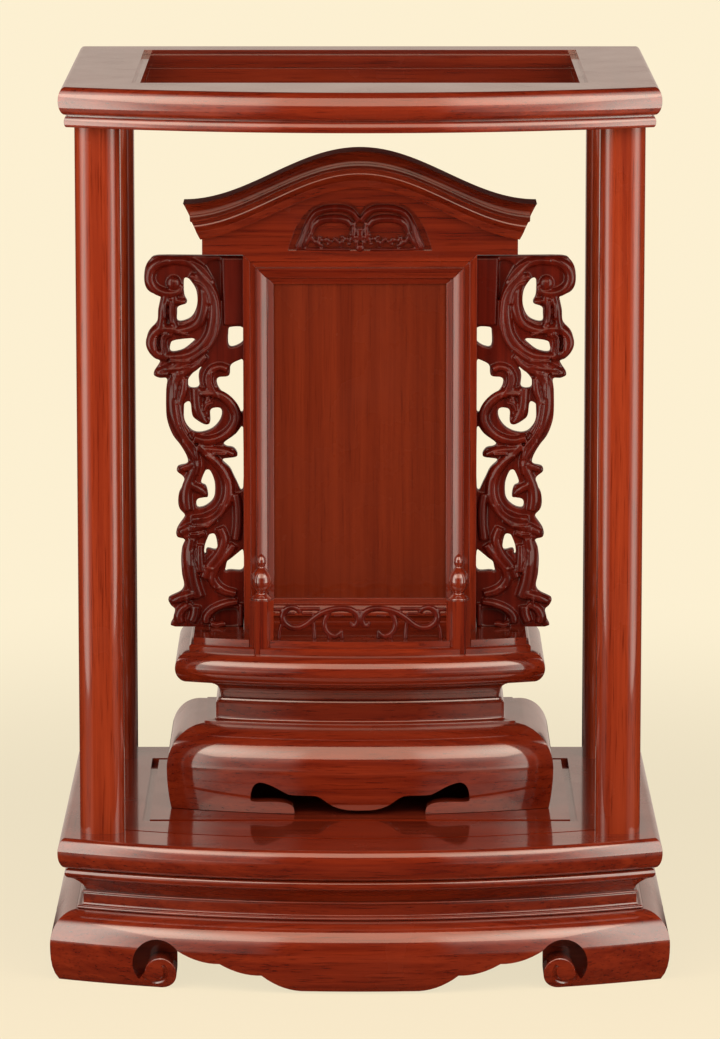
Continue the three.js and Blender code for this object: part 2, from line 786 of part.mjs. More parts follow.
function railPostPlan(side, grow) {
  const r = railPostSize / 2 + grow;
  const c = r - railPostChamfer;
  const x = side * railPostHalfSpacing;
  const y = railPostFront + railPostSize / 2;
  return outline([
    [x - c, y - r], [x + c, y - r], [x + r, y - c], [x + r, y + c],
    [x + c, y + r], [x - c, y + r], [x - r, y + c], [x - r, y - c],
  ]);
}

const plinthLower = plate(pedestalPlan.wholePlan(-plinthInset), tableTop, plinthStepTop, bowSteps);
const plinthUpper = plate(
  pedestalPlan.wholePlan(-plinthInset - plinthStep), plinthStepTop - joinOverlap, plinthTop, bowSteps,
);
const plinth = [-1, 1].reduce((rest, side) => (
  rest.subtract(plate(railPostPlan(side, fitGap), tableTop - overcut, plinthTop + overcut))
), plinthLower.add(plinthUpper));
piece(tablet, 'pedestal_plinth', plinth, lacquer);

// Railing posts with turned finials

function finial(side) {
  const drawn = finialProfile.map(([radius, share]) => new THREE.Vector2(radius, share * finialHeight));
  const foot = [new THREE.Vector2(0, -joinOverlap), new THREE.Vector2(drawn[0].x, -joinOverlap)];
  const geometry = new THREE.LatheGeometry([...foot, ...drawn.slice(1)], 16);
  geometry.rotateX(Math.PI / 2);
  geometry.translate(
    side * railPostHalfSpacing, railPostFront + railPostSize / 2, tableTop + railPostHeight,
  );
  return solid(geometry);
}

for (const [side, name] of [[-1, 'left'], [1, 'right']]) {
  const shaft = plate(railPostPlan(side, 0), tableTop, tableTop + railPostHeight);
  piece(tablet, `railing_post_${name}`, shaft.add(finial(side)), lacquer);
}

// Pierced front railing panel between the posts

const railPanelHalf = railPostHalfSpacing - railPostSize / 2 - fitGap;
const railPanelFront = railPostFront + (railPostSize - railPanelThickness) / 2;
const railPanelBack = railPanelFront + railPanelThickness;
let railPanel = block(
  -railPanelHalf, railPanelHalf, railPanelFront, railPanelBack, plinthTop, plinthTop + railPanelHeight,
);
for (const hole of railHoles) {
  for (const side of [-1, 1]) {
    const shape = new THREE.Shape();
    shape.absellipse(side * hole.x, plinthTop + hole.z, hole.rx, hole.rz, 0, Math.PI * 2, false, 0);
    railPanel = railPanel.subtract(board(shape, railPanelFront - overcut, railPanelBack + overcut, 6));
  }
}
piece(tablet, 'railing_panel_front', railPanel, darkLacquer);

// Tablet frame: a stepped moulding laid out flat round the panel, then stood up

const frameMid = plinthTop + frameHeight / 2;
const framePlan = ring(frameHalfWidth, -frameHeight / 2, frameHeight / 2, 0);
const panelFace = panelBackDepth + fitGap;
const frameSection = [
  [0, 0],
  ...frameSteps.map(([inward, drop]) => [-inward, frameDepth - drop]),
  [-frameBandWidth, panelFace],
  [-frameBandWidth + panelRebate, panelFace],
  [-frameBandWidth + panelRebate, 0],
];
const frameBoards = mitredBoards(framePlan, frameSection, frameBandWidth + panelRebate);
const frameNames = {
  front: 'tablet_bottom_rail',
  rear: 'tablet_top_rail',
  left: 'tablet_stile_left',
  right: 'tablet_stile_right',
};

function stoodUp(body) {
  const geometry = geometryOf(body);
  geometry.rotateX(Math.PI / 2);
  geometry.translate(0, 0, frameMid);
  return solid(geometry);
}

for (const side of sides) {
  piece(tablet, frameNames[side], stoodUp(frameBoards[side]), lacquer);
}

const panelHalf = frameHalfWidth - frameBandWidth + panelRebate - fitGap;
const panelReach = frameHeight / 2 - frameBandWidth + panelRebate - fitGap;
piece(tablet, 'tablet_face_panel', block(
  -panelHalf, panelHalf, -panelBackDepth, 0, frameMid - panelReach, frameMid + panelReach,
), lacquer);
piece(tablet, 'tablet_backboard', block(
  -frameHalfWidth, frameHalfWidth, 0, backboardThickness, plinthTop, frameTop,
), darkLacquer);

// Tympanum, its carving and the S-curved cornice

const corniceLow = frameTop + corniceEndHeight;
const corniceSteps = 24;

function corniceLine(x, drop, halfWidth) {
  const across = Math.min(Math.abs(x) / halfWidth, 1);
  return corniceLow - drop + (corniceRise * (1 + Math.cos(Math.PI * across))) / 2;
}

// A band that follows the cornice line between two depths under it
function corniceBand(dropTop, dropBase, halfTop, halfBase, yFront, yBack) {
  const upper = [];
  const lower = [];
  for (let i = 0; i <= corniceSteps; i += 1) {
    const t = (2 * i) / corniceSteps - 1;
    upper.push([t * halfTop, corniceLine(t * halfTop, dropTop, corniceHalfWidth)]);
    lower.push([t * halfBase, corniceLine(t * halfBase, dropBase, corniceHalfWidth)]);
  }
  return board(outline([...upper, ...lower.reverse()]), yFront, yBack);
}

const corniceBack = backboardThickness;
const capDrop = corniceCapHeight;
const coveDrop = corniceCapHeight + corniceCoveHeight;
const coveFront = -corniceProjection + corniceCoveSetBack;
const filletFront = -corniceProjection + corniceFilletSetBack;
const slantAt = (drop) => corniceHalfWidth - (corniceSlant * drop) / corniceHeight;
const cap = corniceBand(0, capDrop, slantAt(0), slantAt(capDrop), -corniceProjection, corniceBack);
const cove = corniceBand(
  capDrop - joinOverlap, coveDrop, slantAt(capDrop) - overcut, slantAt(coveDrop), coveFront, corniceBack,
);
const fillet = corniceBand(
  coveDrop - joinOverlap, corniceHeight, slantAt(coveDrop), slantAt(corniceHeight), filletFront, corniceBack,
);
piece(tablet, 'cornice', cap.add(cove).add(fillet), lacquer);

const tympanumPoints = [];
for (let i = 0; i <= corniceSteps; i += 1) {
  const x = ((2 * i) / corniceSteps - 1) * tympanumHalfWidth;
  tympanumPoints.push([x, corniceLine(x, corniceHeight + fitGap, corniceHalfWidth)]);
}
const tympanum = board(
  outline([...tympanumPoints, [tympanumHalfWidth, frameTop], [-tympanumHalfWidth, frameTop]]),
  -tympanumProud, corniceBack,
);
piece(tablet, 'tympanum', tympanum, lacquer);

const carvingLow = frameTop + carvingRise;
const carvingPoints = [
  ...carvingOutline.map(([x, z]) => [x, carvingLow + z]),
  ...carvingOutline.slice(1, -1).reverse().map(([x, z]) => [-x, carvingLow + z]),
];
piece(tablet, 'tympanum_carving', board(
  outline(carvingPoints), -tympanumProud - carvingThickness, -tympanumProud,
), darkLacquer);

// Pierced scroll wings beside the frame

const wingWidthScale = wingReach / Math.max(...wingEdge.map((point) => point[0]));
const wingHeightScale = (frameHeight - fitGap) / Math.max(...wingEdge.map((point) => point[1]));
const wingBack = wingThickness - wingFront;

function wing(side) {
  const place = ([out, height]) => [
    side * (frameHalfWidth + fitGap + out * wingWidthScale),
    plinthTop + height * wingHeightScale,
  ];
  const edge = [[0, wingEdge[0][1]], ...wingEdge, [0, 0]];
  const plain = board(outline(edge.map(place)), -wingFront, wingBack);
  return wingHoles.reduce((rest, hole) => (
    rest.subtract(board(outline(hole.map(place)), -wingFront - overcut, wingBack + overcut))
  ), plain);
}

piece(tablet, 'wing_left', wing(-1), darkLacquer);
piece(tablet, 'wing_right', wing(1), darkLacquer);

export default object;
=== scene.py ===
# %% [markdown]
# Ancestor shrine of lacquered rosewood: an open four-post case with a bowed front, and a loose tablet stand
# inside it. This lesson dresses a packed model. Every piece is made in metres, at the place that the model
# gives, so that the two always fit. The first step loads that model and keeps its parts in place.

import math

import bpy
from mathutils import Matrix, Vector


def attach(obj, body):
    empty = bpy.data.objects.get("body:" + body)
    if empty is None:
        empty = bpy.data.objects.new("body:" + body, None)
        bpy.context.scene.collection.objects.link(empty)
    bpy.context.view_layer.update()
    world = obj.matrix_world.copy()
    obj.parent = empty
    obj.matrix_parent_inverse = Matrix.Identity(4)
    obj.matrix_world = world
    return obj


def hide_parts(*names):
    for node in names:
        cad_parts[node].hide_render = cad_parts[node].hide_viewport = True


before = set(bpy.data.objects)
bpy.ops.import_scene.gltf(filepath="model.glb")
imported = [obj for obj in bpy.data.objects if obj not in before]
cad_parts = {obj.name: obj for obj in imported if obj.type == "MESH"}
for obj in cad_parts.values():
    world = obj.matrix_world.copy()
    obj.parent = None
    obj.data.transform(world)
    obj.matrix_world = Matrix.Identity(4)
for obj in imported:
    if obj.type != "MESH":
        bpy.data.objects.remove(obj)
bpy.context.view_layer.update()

# %% [markdown]
# The photograph is taken from a little above the middle, with a long lens. A long lens keeps the upright
# lines of furniture nearly parallel, so a lens of about 200 mm and a camera four metres away are used, and
# the camera is tipped down instead of being shifted.

# %% Camera at the photograph's angle
CAMERA_PLACE = (0, -4.097, 1.025)
CAMERA_TILT = 10.03
CAMERA_LENS = 203.8
CAMERA_SENSOR = 36

bpy.ops.object.camera_add(location=CAMERA_PLACE, rotation=(math.radians(90 - CAMERA_TILT), 0, 0))
camera = bpy.context.object
camera.name = "camera"
camera.data.lens = CAMERA_LENS
camera.data.sensor_width = CAMERA_SENSOR
camera.data.clip_end = 60
bpy.context.scene.camera = camera
bpy.context.scene.view_settings.view_transform = "Standard"
print("camera lens", camera.data.lens, "mm")

# %% [markdown]
# Backdrop, lamps and finishes are all made of shader nodes. A short helper empties a node tree and adds to
# it. Each input of a new node is given by its name or number, as a plain value or as the output of a node
# that is there already, so that a tree reads from top to bottom like a calculation.

# %% Node helper


class Nodes:
    """A node tree that starts empty, with short ways to add the nodes used most."""

    def __init__(self, tree):
        self.tree = tree
        tree.nodes.clear()

    def add(self, kind, inputs=None, **settings):
        """A node with its settings and inputs; returns its outputs."""
        node = self.tree.nodes.new(kind)
        for name, value in settings.items():
            setattr(node, name, value)
        for socket, value in (inputs or {}).items():
            if isinstance(value, bpy.types.NodeSocket):
                self.tree.links.new(value, node.inputs[socket])
            else:
                node.inputs[socket].default_value = value
        return node.outputs

    def maths(self, operation, *values):
        """A calculation with one or two numbers."""
        return self.add("ShaderNodeMath", dict(enumerate(values)), operation=operation)[0]

    def ramp(self, value, start, end, low=0, high=1, kind="LINEAR"):
        """A number that goes from low at the start to high at the end, and stays there."""
        ends = {"Value": value, "From Min": start, "From Max": end, "To Min": low, "To Max": high}
        return self.add("ShaderNodeMapRange", ends, interpolation_type=kind)[0]

    def soft(self, value, start, end, low=0):
        """The same with a soft start and a soft end."""
        return self.ramp(value, start, end, low, kind="SMOOTHSTEP")

    def mix(self, factor, first, second, blend="MIX"):
        """A colour between two others."""
        inputs = {"Factor": factor, "A": first, "B": second}
        return self.add("ShaderNodeMix", inputs, data_type="RGBA", blend_type=blend)["Result"]

    def choose(self, factor, first, second):
        """One of two shaders, or a share of both."""
        return self.add("ShaderNodeMixShader", {"Fac": factor, 1: first, 2: second})[0]

    def split(self, vector):
        """The three coordinates of a vector, as outputs X, Y and Z."""
        return self.add("ShaderNodeSeparateXYZ", {0: vector})


print("node helper:", [name for name in vars(Nodes) if not name.startswith("_")])

# %% [markdown]
# A polished surface shows the room, so the room is built with as much care as the object. The backdrop is
# warm cream, and a mirror sees it only behind the object and not far above the horizon. In front and
# overhead the room is dark, which keeps upright faces a deep red. The colour comes from the world, so that
# it stays behind the object from every side, and a much plainer light reaches the wood itself.

# %% Backdrop
CREAM = (0.98, 0.87, 0.64, 1)
MIRRORED_CREAM = (0.57, 0.45, 0.38, 1)
HORIZON_TOP = 0.42
ROOM_DARK = (0.03, 0.016, 0.012, 1)
ROOM_LIGHT = (0.9, 0.86, 0.8, 1)
ROOM_LEVEL = 0.15

world = bpy.data.worlds.new("studio")
world.use_nodes = True
bpy.context.scene.world = world
studio = Nodes(world.node_tree)
way = studio.split(studio.add("ShaderNodeTexCoord")["Generated"])
behind = studio.soft(way["Y"], -0.25, 0.35)
under_top = studio.soft(way["Z"], HORIZON_TOP, HORIZON_TOP / 2)
mirrored = studio.mix(studio.maths("MULTIPLY", behind, under_top), ROOM_DARK, MIRRORED_CREAM)
rays = studio.add("ShaderNodeLightPath")
seen = studio.mix(rays["Is Camera Ray"], mirrored, CREAM)
shown = studio.add("ShaderNodeBackground", {"Color": seen})[0]
plain = studio.add("ShaderNodeBackground", {"Color": ROOM_LIGHT, "Strength": ROOM_LEVEL})[0]
looked_at = studio.maths("MAXIMUM", rays["Is Camera Ray"], rays["Is Glossy Ray"])
looked_at = studio.maths("MAXIMUM", looked_at, rays["Is Transmission Ray"])
studio.add("ShaderNodeOutputWorld", {"Surface": studio.choose(looked_at, plain, shown)})
print("backdrop colour", CREAM[:3])

# %% [markdown]
# The floor is a large plain sheet. Near the object it is partly a real matt surface, which takes the
# object's shadow, and further out it fades into the colour of the backdrop, so that no edge shows. The fade
# is measured from the object's middle with the floor's own Object coordinates.

# %% Floor
FLOOR_RADIUS = 30
FLOOR_PALE = (0.68, 0.60, 0.44, 1)
FLOOR_GLOW = 0.8
FADE_START, FADE_END = 0.45, 1.3
MIRRORED_DARK = (0.05, 0.026, 0.02, 1)
# The side colour is a painted glow: it stands in for the soft boxes' light on the floor, and only mirrors see
# it.
PAINTED_SIDE_GLOW = (0.3, 0.3, 0.25, 1)
CASE_EDGE = 0.2
TURN_CENTRE = -0.1

bpy.ops.object.select_all(action="DESELECT")
bpy.ops.mesh.primitive_circle_add(vertices=96, radius=FLOOR_RADIUS, fill_type="NGON", location=(0, 0, 0))
floor = bpy.context.object
floor.name = "floor"
floor_paint = bpy.data.materials.new("floor_paint")
floor_paint.use_nodes = True
floor.data.materials.append(floor_paint)
ground = Nodes(floor_paint.node_tree)
place = ground.add("ShaderNodeTexCoord")["Object"]
rays = ground.add("ShaderNodeLightPath")
reach = ground.add("ShaderNodeVectorMath", {0: place}, operation="LENGTH")["Value"]
level = ground.ramp(ground.soft(reach, FADE_START, FADE_END), 0, 1, FLOOR_GLOW)
looked_at = ground.maths("MAXIMUM", rays["Is Camera Ray"], rays["Is Transmission Ray"])
matt = ground.add(
    "ShaderNodeBsdfPrincipled", {"Base Color": FLOOR_PALE, "Roughness": 0.9, "Specular IOR Level": 0.1}
)[0]
glow = ground.add("ShaderNodeEmission", {"Color": CREAM})[0]
plain = ground.choose(ground.maths("MULTIPLY", level, looked_at), matt, glow)
print("floor reaches", FLOOR_RADIUS, "m")

# %% [markdown]
# A polished face sees the floor as it sees the room: dark in front, pale behind, and bright to the left and
# right, where a glow is painted into the floor in place of the soft boxes' light. The angle round the object
# decides, so that the painted highlight it gives runs straight down a post. Only glossy rays meet this second
# finish of the floor.

# %% Floor in a mirror
across = ground.split(place)
aside = ground.maths("ABSOLUTE", across["X"])
beyond_edge = ground.maths("MAXIMUM", ground.maths("SUBTRACT", aside, CASE_EDGE - 0.04), 0.0)
forward = ground.maths("SUBTRACT", TURN_CENTRE, across["Y"])
angle = ground.maths("ARCTAN2", beyond_edge, forward)
squares = [ground.maths("POWER", side, 2.0) for side in (beyond_edge, forward)]
distance = ground.maths("SQRT", ground.maths("ADD", *squares))
# Painted glow: bright sectors beside the case, in place of the soft boxes' light on the floor.
glow_from = ground.soft(angle, math.radians(4), math.radians(26))
glow_until = ground.soft(angle, math.radians(94), math.radians(50))
painted_side_glow = ground.maths("MULTIPLY", glow_from, glow_until)
painted_side_glow = ground.maths("MULTIPLY", painted_side_glow, ground.soft(distance, 0.25, 0.5))
beside_case = ground.soft(aside, CASE_EDGE - 0.01, CASE_EDGE + 0.01)
clear_way = ground.maths("MAXIMUM", beside_case, ground.soft(across["Y"], 1.2, 2.2))
pale_from = ground.soft(angle, math.radians(150), math.radians(168))
pale_behind = ground.maths("MULTIPLY", pale_from, clear_way)
reflected = ground.mix(pale_behind, ground.mix(painted_side_glow, MIRRORED_DARK, PAINTED_SIDE_GLOW), MIRRORED_CREAM)
# The floor's mirror finish glows: it is painted light, not light from the lamps.
painted_mirror_glow = ground.add("ShaderNodeEmission", {"Color": reflected})[0]
surface = ground.choose(rays["Is Glossy Ray"], plain, painted_mirror_glow)
ground.add("ShaderNodeOutputMaterial", {"Surface": surface})
print("mirrored floor: dark", MIRRORED_DARK[:3], "side", PAINTED_SIDE_GLOW[:3])

# %% [markdown]
# Two large upright soft boxes stand left and right of the camera: they make the long pale bands on the
# bulging mouldings and, with the glow painted into the floor's mirror finish, on the posts. Each fades towards
# its edges. A long lamp close in front of the case gives the tan line along every rounded front edge. Between
# them it stays dark.

# %% Lamps
LAMPS = [
    # name, place, aim, width, height, watts, colour, side
    ("lamp_left", (-0.925, -0.625, 0.89), (-0.277, 0.135, 0.89), 1.77, 1.74, 33, (1, 0.98, 0.86), -1),
    ("lamp_right", (0.925, -0.625, 0.89), (0.277, 0.135, 0.89), 1.77, 1.74, 33, (1, 0.98, 0.86), 1),
    ("lamp_front", (0, -0.675, 0.71), (0, -0.455, 0.16), 1.3, 0.59, 5.6, (1, 0.66, 0.48), 0),
]
FADES = [
    # axis, start, end, level at the start, way of joining; the level at the end is 1
    ("Y", 0.15, 0.5, 0.2, "MULTIPLY"), ("X", 0.85, 0.6, 0, "MAXIMUM"), ("X", 1, 0.93, 0, "MULTIPLY"),
    ("X", 1, 0.55, 0.25, "MULTIPLY"), ("X", 0.1, 0.55, 0.05, "MULTIPLY"), ("Y", 1, 0.5, 0.1, "MULTIPLY"),
]


def fading(lamp, side):
    """Lets a soft box fade towards both its sides, its upper and its lower edge."""
    lamp.data.use_nodes = True
    box = Nodes(lamp.data.node_tree)
    across = box.split(box.add("ShaderNodeNewGeometry")["Parametric"])
    level = None
    for axis, start, end, least, join in FADES:
        if axis == "X" and side > 0:
            start, end = 1 - start, 1 - end
        ease = box.soft(across[axis], start, end, least)
        level = ease if level is None else box.maths(join, level, ease)
    glow = box.add("ShaderNodeEmission", {"Strength": level})[0]
    box.add("ShaderNodeOutputLight", {"Surface": glow})


for name, place, aim, width, height, watts, colour, side in LAMPS:
    bpy.ops.object.light_add(type="AREA", location=place)
    lamp = bpy.context.object
    lamp.name = name
    lamp.visible_camera = False
    lamp.data.shape = "RECTANGLE"
    lamp.data.size = width
    lamp.data.size_y = height
    lamp.data.energy = watts
    lamp.data.color = colour
    lamp.rotation_euler = (Vector(aim) - Vector(place)).to_track_quat("-Z", "Y").to_euler()
    if side:
        fading(lamp, side)
print(len(LAMPS), "lamps")

# %% [markdown]
# Wood grain is one node group, because every finish of this object shows it. Noise that is stretched along
# the grain makes the broad streaks, a finer and tighter one makes the open pores, and the group gives a
# colour and a height. The vector that comes in has its grain along X.

# %% Grain group
STREAKS = (3, 150, 150)
PORES = (28, 900, 900)
PORE_TINT = (0.45, 0.3, 0.25, 1)


def new_group(name, inputs, outputs):
    """A shader node group with named sockets; returns the group, its nodes and what comes in."""
    group = bpy.data.node_groups.new(name, "ShaderNodeTree")
    for end, sockets in (("INPUT", inputs), ("OUTPUT", outputs)):
        for socket, kind in sockets.items():
            group.interface.new_socket(socket, in_out=end, socket_type="NodeSocket" + kind)
    nodes = Nodes(group)
    return group, nodes, nodes.add("NodeGroupInput")


grain, nodes, given = new_group(
    "wood_grain",
    {"Vector": "Vector", "Dark": "Color", "Light": "Color", "Contrast": "Float"},
    {"Color": "Color", "Height": "Float"},
)
long = nodes.add("ShaderNodeVectorMath", {0: given["Vector"], 1: STREAKS}, operation="MULTIPLY")[0]
streaks = nodes.add(
    "ShaderNodeTexNoise", {"Vector": long, "Scale": 1, "Detail": 5, "Roughness": 0.62, "Distortion": 0.35}
)["Fac"]
fine = nodes.add("ShaderNodeVectorMath", {0: given["Vector"], 1: PORES}, operation="MULTIPLY")[0]
pores = nodes.add("ShaderNodeTexNoise", {"Vector": fine, "Scale": 1, "Detail": 2})["Fac"]
open_pores = nodes.ramp(pores, 0.56, 0.70)
toned = nodes.mix(nodes.ramp(streaks, 0.26, 0.74), given["Dark"], given["Light"])
pitted = nodes.maths("MULTIPLY", open_pores, given["Contrast"])
nodes.add("NodeGroupOutput", {
    "Color": nodes.mix(pitted, toned, PORE_TINT, "MULTIPLY"),
    "Height": nodes.maths("SUBTRACT", streaks, open_pores),
})
print("group", grain.name)

# %% [markdown]
# Hands and dusting cloths leave their mark on lacquer: the gloss is a little duller in patches, and a thin
# film of dust lies on faces that look up. A second group makes both as masks, so that each material can
# take as much of them as it needs.

# %% Handling group
handling, nodes, given = new_group(
    "handling",
    {"Vector": "Vector", "Smoothest": "Float", "Dullest": "Float"},
    {"Roughness": "Float", "Dust": "Float"},
)
cloud = nodes.add("ShaderNodeTexNoise", {"Vector": given["Vector"], "Scale": 22, "Detail": 4})["Fac"]
facing = nodes.split(nodes.add("ShaderNodeNewGeometry")["Normal"])
upward = nodes.ramp(facing["Z"], 0.75, 1)
nodes.add("NodeGroupOutput", {
    "Roughness": nodes.ramp(cloud, 0.35, 0.7, given["Smoothest"], given["Dullest"]),
    "Dust": nodes.maths("MULTIPLY", upward, cloud),
})
print("group", handling.name)

# %% [markdown]
# The finish of this shrine is a clear gloss lacquer over stained rosewood. A principled shader has a coat for
# just that: the wood's colour lies under it, and the coat alone gives the sharp reflections. The grain runs
# along each board, so one recipe is used with three directions, and a Mapping node turns the pattern. Posts
# and tablet frame mirror the room less strongly, and the carving least. The posts' lighter red is painted
# light and the carving's darker red is painted shade: both are copies of the same red lacquer.

# %% Finishes
DUST = (0.42, 0.34, 0.28, 1)
GRAIN_TURN = {"across": (0, 0, 0), "deep": (0, 0, math.pi / 2), "upright": (0, math.pi / 2, 0)}


def finish_recipe(name, tones, run, smoothest, dullest, coat, dusty, contrast=0.7, bump=0.00003):
    """A lacquered wood between a dark and a light tone, under a clear coat; run says how its grain lies."""
    paint = bpy.data.materials.new(name)
    paint.use_nodes = True
    nodes = Nodes(paint.node_tree)
    place = nodes.add("ShaderNodeTexCoord")["Object"]
    turned = nodes.add("ShaderNodeMapping", {"Vector": place, "Rotation": GRAIN_TURN[run]})[0]
    wood = nodes.add(
        "ShaderNodeGroup", {"Vector": turned, "Dark": tones[0], "Light": tones[1], "Contrast": contrast},
        node_tree=grain,
    )
    marks = nodes.add(
        "ShaderNodeGroup", {"Vector": place, "Smoothest": smoothest, "Dullest": dullest}, node_tree=handling
    )
    film = nodes.maths("MULTIPLY", marks["Dust"], dusty)
    relief = nodes.add("ShaderNodeBump", {"Height": wood["Height"], "Strength": 0.35, "Distance": bump})[0]
    shader = nodes.add("ShaderNodeBsdfPrincipled", {
        "Base Color": nodes.mix(film, wood["Color"], DUST),
        "Roughness": marks["Roughness"],
        "Normal": relief,
        "IOR": 1.5,
        "Specular IOR Level": 0.12,
        "Coat Weight": coat,
        "Coat Roughness": 0.06,
        "Coat IOR": 1.9,
    })[0]
    nodes.add("ShaderNodeOutputMaterial", {"Surface": shader})
    return paint


RED = ((0.09, 0.0056, 0.0018, 1), (0.235, 0.026, 0.0072, 1))
# The posts' lighter red is painted light: a lit copy of the same red lacquer.
POST_RED_PAINTED_LIT = ((0.15, 0.0135, 0.0042, 1), (0.31, 0.043, 0.0125, 1))
# The carving's darker red is painted shade: a shaded copy of the same red lacquer.
CARVED_RED_PAINTED_SHADE = ((0.045, 0.0022, 0.001, 1), (0.13, 0.0095, 0.0038, 1))
PANEL_RED = ((0.105, 0.0115, 0.0035, 1), (0.185, 0.024, 0.0065, 1))
BARE_WOOD = ((0.26, 0.13, 0.06, 1), (0.45, 0.26, 0.13, 1))
lacquer = {run: finish_recipe("lacquer_" + run, RED, run, 0.16, 0.30, 1, 0.03) for run in GRAIN_TURN}
# The posts take the lighter red, which is painted light.
lacquer["post"] = finish_recipe("lacquer_post_painted_lit", POST_RED_PAINTED_LIT, "upright", 0.16, 0.30, 0.5, 0.03)
# The carving takes the darker red, which is painted shade.
carved_lacquer = finish_recipe("carved_lacquer", CARVED_RED_PAINTED_SHADE, "upright", 0.25, 0.4, 0.18, 0.02, 0.4)
panel_lacquer = finish_recipe("panel_lacquer", PANEL_RED, "upright", 0.22, 0.34, 0.8, 0.0, 0.4)
frame_lacquer = {
    run: finish_recipe("frame_lacquer_" + run, RED, run, 0.2, 0.32, 0.45, 0.03)
    for run in ("across", "upright")
}
unpolished = finish_recipe("unpolished", (RED[0], RED[0]), "across", 0.6, 0.8, 0, 0)
sawn_wood = finish_recipe("sawn_wood", BARE_WOOD, "upright", 0.6, 0.8, 0, 0.1, 0.8, 0.0001)
print("finishes:", [paint.name for paint in bpy.data.materials])

# %% [markdown]
# Every moulding of this shrine is a section that runs round a plan. A grid is the natural start for such a
# loft: its rows become the stations along the plan, its columns become the section, and only the
# vertices have to be moved. The seam where the grid meets itself is merged, and open ends are filled.

# %% Loft helper
MM = 0.001
MERGE = 0.000002


def deselect():
    """Leaves edit mode and selects nothing, so that the next operator acts only on its own piece."""
    if bpy.context.object and bpy.context.object.mode != "OBJECT":
        bpy.ops.object.mode_set(mode="OBJECT")
    bpy.ops.object.select_all(action="DESELECT")


def take(piece):
    """Selects one piece alone and makes it active."""
    deselect()
    piece.select_set(True)
    bpy.context.view_layer.objects.active = piece


def edit(piece, *steps):
    """Runs edit-mode operators on all of a piece; each step is (operator, settings)."""
    take(piece)
    bpy.ops.object.mode_set(mode="EDIT")
    for operator, settings in steps:
        bpy.ops.mesh.select_all(action="SELECT")
        operator(**settings)
    bpy.ops.object.mode_set(mode="OBJECT")


def cleaned(piece):
    """Merges doubles and turns all faces outwards."""
    edit(
        piece,
        (bpy.ops.mesh.remove_doubles, {"threshold": MERGE}),
        (bpy.ops.mesh.normals_make_consistent, {"inside": False}),
    )
    return piece


def loft(name, rows, closed=False):
    """A solid through equal closed sections in millimetres: one ring if closed, or capped at both ends."""
    stations = rows + rows[:1] if closed else rows
    sections = [list(row) + [row[0]] for row in stations]
    across = len(sections[0]) - 1
    along = len(sections) - 1
    deselect()
    bpy.ops.mesh.primitive_grid_add(x_subdivisions=across, y_subdivisions=along, size=2)
    piece = bpy.context.object
    piece.name = name
    for vertex in piece.data.vertices:
        column = round((vertex.co.x + 1) / 2 * across)
        row = round((vertex.co.y + 1) / 2 * along)
        vertex.co = Vector(sections[row][column]) * MM
    edit(piece, (bpy.ops.mesh.remove_doubles, {"threshold": MERGE}))
    if not closed:
        edit(piece, (bpy.ops.mesh.fill_holes, {"sides": 0}))
    return cleaned(piece)


test = loft("loft_test", [[(0, 0, 0), (1, 0, 0), (0, 1, 0)], [(0, 0, 1), (1, 0, 1), (0, 1, 1)]])
print("a wedge has", len(test.data.polygons), "faces")
bpy.data.objects.remove(test, do_unlink=True)

# %% [markdown]
# Curved sections are drawn with elliptical arcs, and freely drawn ones with a smooth curve through a few
# points. Enough points are taken that the gloss runs over them without facets.

# %% Section helpers


def arc(out, height, reach, rise, start, end, count=20):
    """Points of an elliptical arc, from one angle to another in degrees."""
    turns = [math.radians(start + (end - start) * i / count) for i in range(count + 1)]
    return [(out + reach * math.cos(a), height + rise * math.sin(a)) for a in turns]


def smooth(points, steps=6):
    """A smooth curve through the given points, of any number of coordinates."""
    ends = [points[0]] + list(points) + [points[-1]]
    curve = []
    for a, b, c, d in zip(ends, ends[1:], ends[2:], ends[3:]):
        for i in range(steps):
            t = i / steps
            curve.append(tuple(
                0.5 * (2 * q + (r - p) * t + (2 * p - 5 * q + 4 * r - s) * t * t
                       + (3 * q - p - 3 * r + s) * t ** 3)
                for p, q, r, s in zip(a, b, c, d)
            ))
    curve.append(tuple(points[-1]))
    return curve


print("an arc has", len(arc(0, 0, 1, 1, 90, 0)), "points")

# %% [markdown]
# Case and pedestal share one kind of plan: straight sides and rear, and a front that bows forward on an
# arc. The plan is a function that gives its outline, grown outwards by any distance, with as many
# points each time, so that outlines of different size can be lofted together.

# %% Plans
BOW_STEPS = 96
SIDE_STEPS = 10


def bowed_plan(half, front, rear, bow):
    """Sizes of a plan in millimetres, with the arc that its bowed front follows."""
    radius = (half * half + bow * bow) / (2 * bow)
    return {"half": half, "front": front, "rear": rear, "bow": bow, "radius": radius,
            "centre": front - bow + radius}


def straight_side(start, end):
    """Points from one corner to just before the next."""
    return [
        (start[0] + (end[0] - start[0]) * i / SIDE_STEPS, start[1] + (end[1] - start[1]) * i / SIDE_STEPS)
        for i in range(SIDE_STEPS)
    ]


def outline(plan, grow):
    """The plan's outline, from the front left corner round by the right."""
    radius = plan["radius"] + grow
    half = plan["half"] + grow
    reach = math.asin(half / radius)
    rear = plan["rear"] + grow
    turns = [reach * (2 * i / BOW_STEPS - 1) for i in range(BOW_STEPS)]
    front = [(radius * math.sin(a), plan["centre"] - radius * math.cos(a)) for a in turns]
    corner = (half, plan["centre"] - radius * math.cos(reach))
    return (
        front + straight_side(corner, (half, rear)) + straight_side((half, rear), (-half, rear))
        + straight_side((-half, rear), (-corner[0], corner[1]))
    )


def opening(half, front, rear):
    """A square opening with as many points as an outline."""
    ahead = [(-half + 2 * half * i / BOW_STEPS, front) for i in range(BOW_STEPS)]
    return (
        ahead + straight_side((half, front), (half, rear)) + straight_side((half, rear), (-half, rear))
        + straight_side((-half, rear), (-half, front))
    )


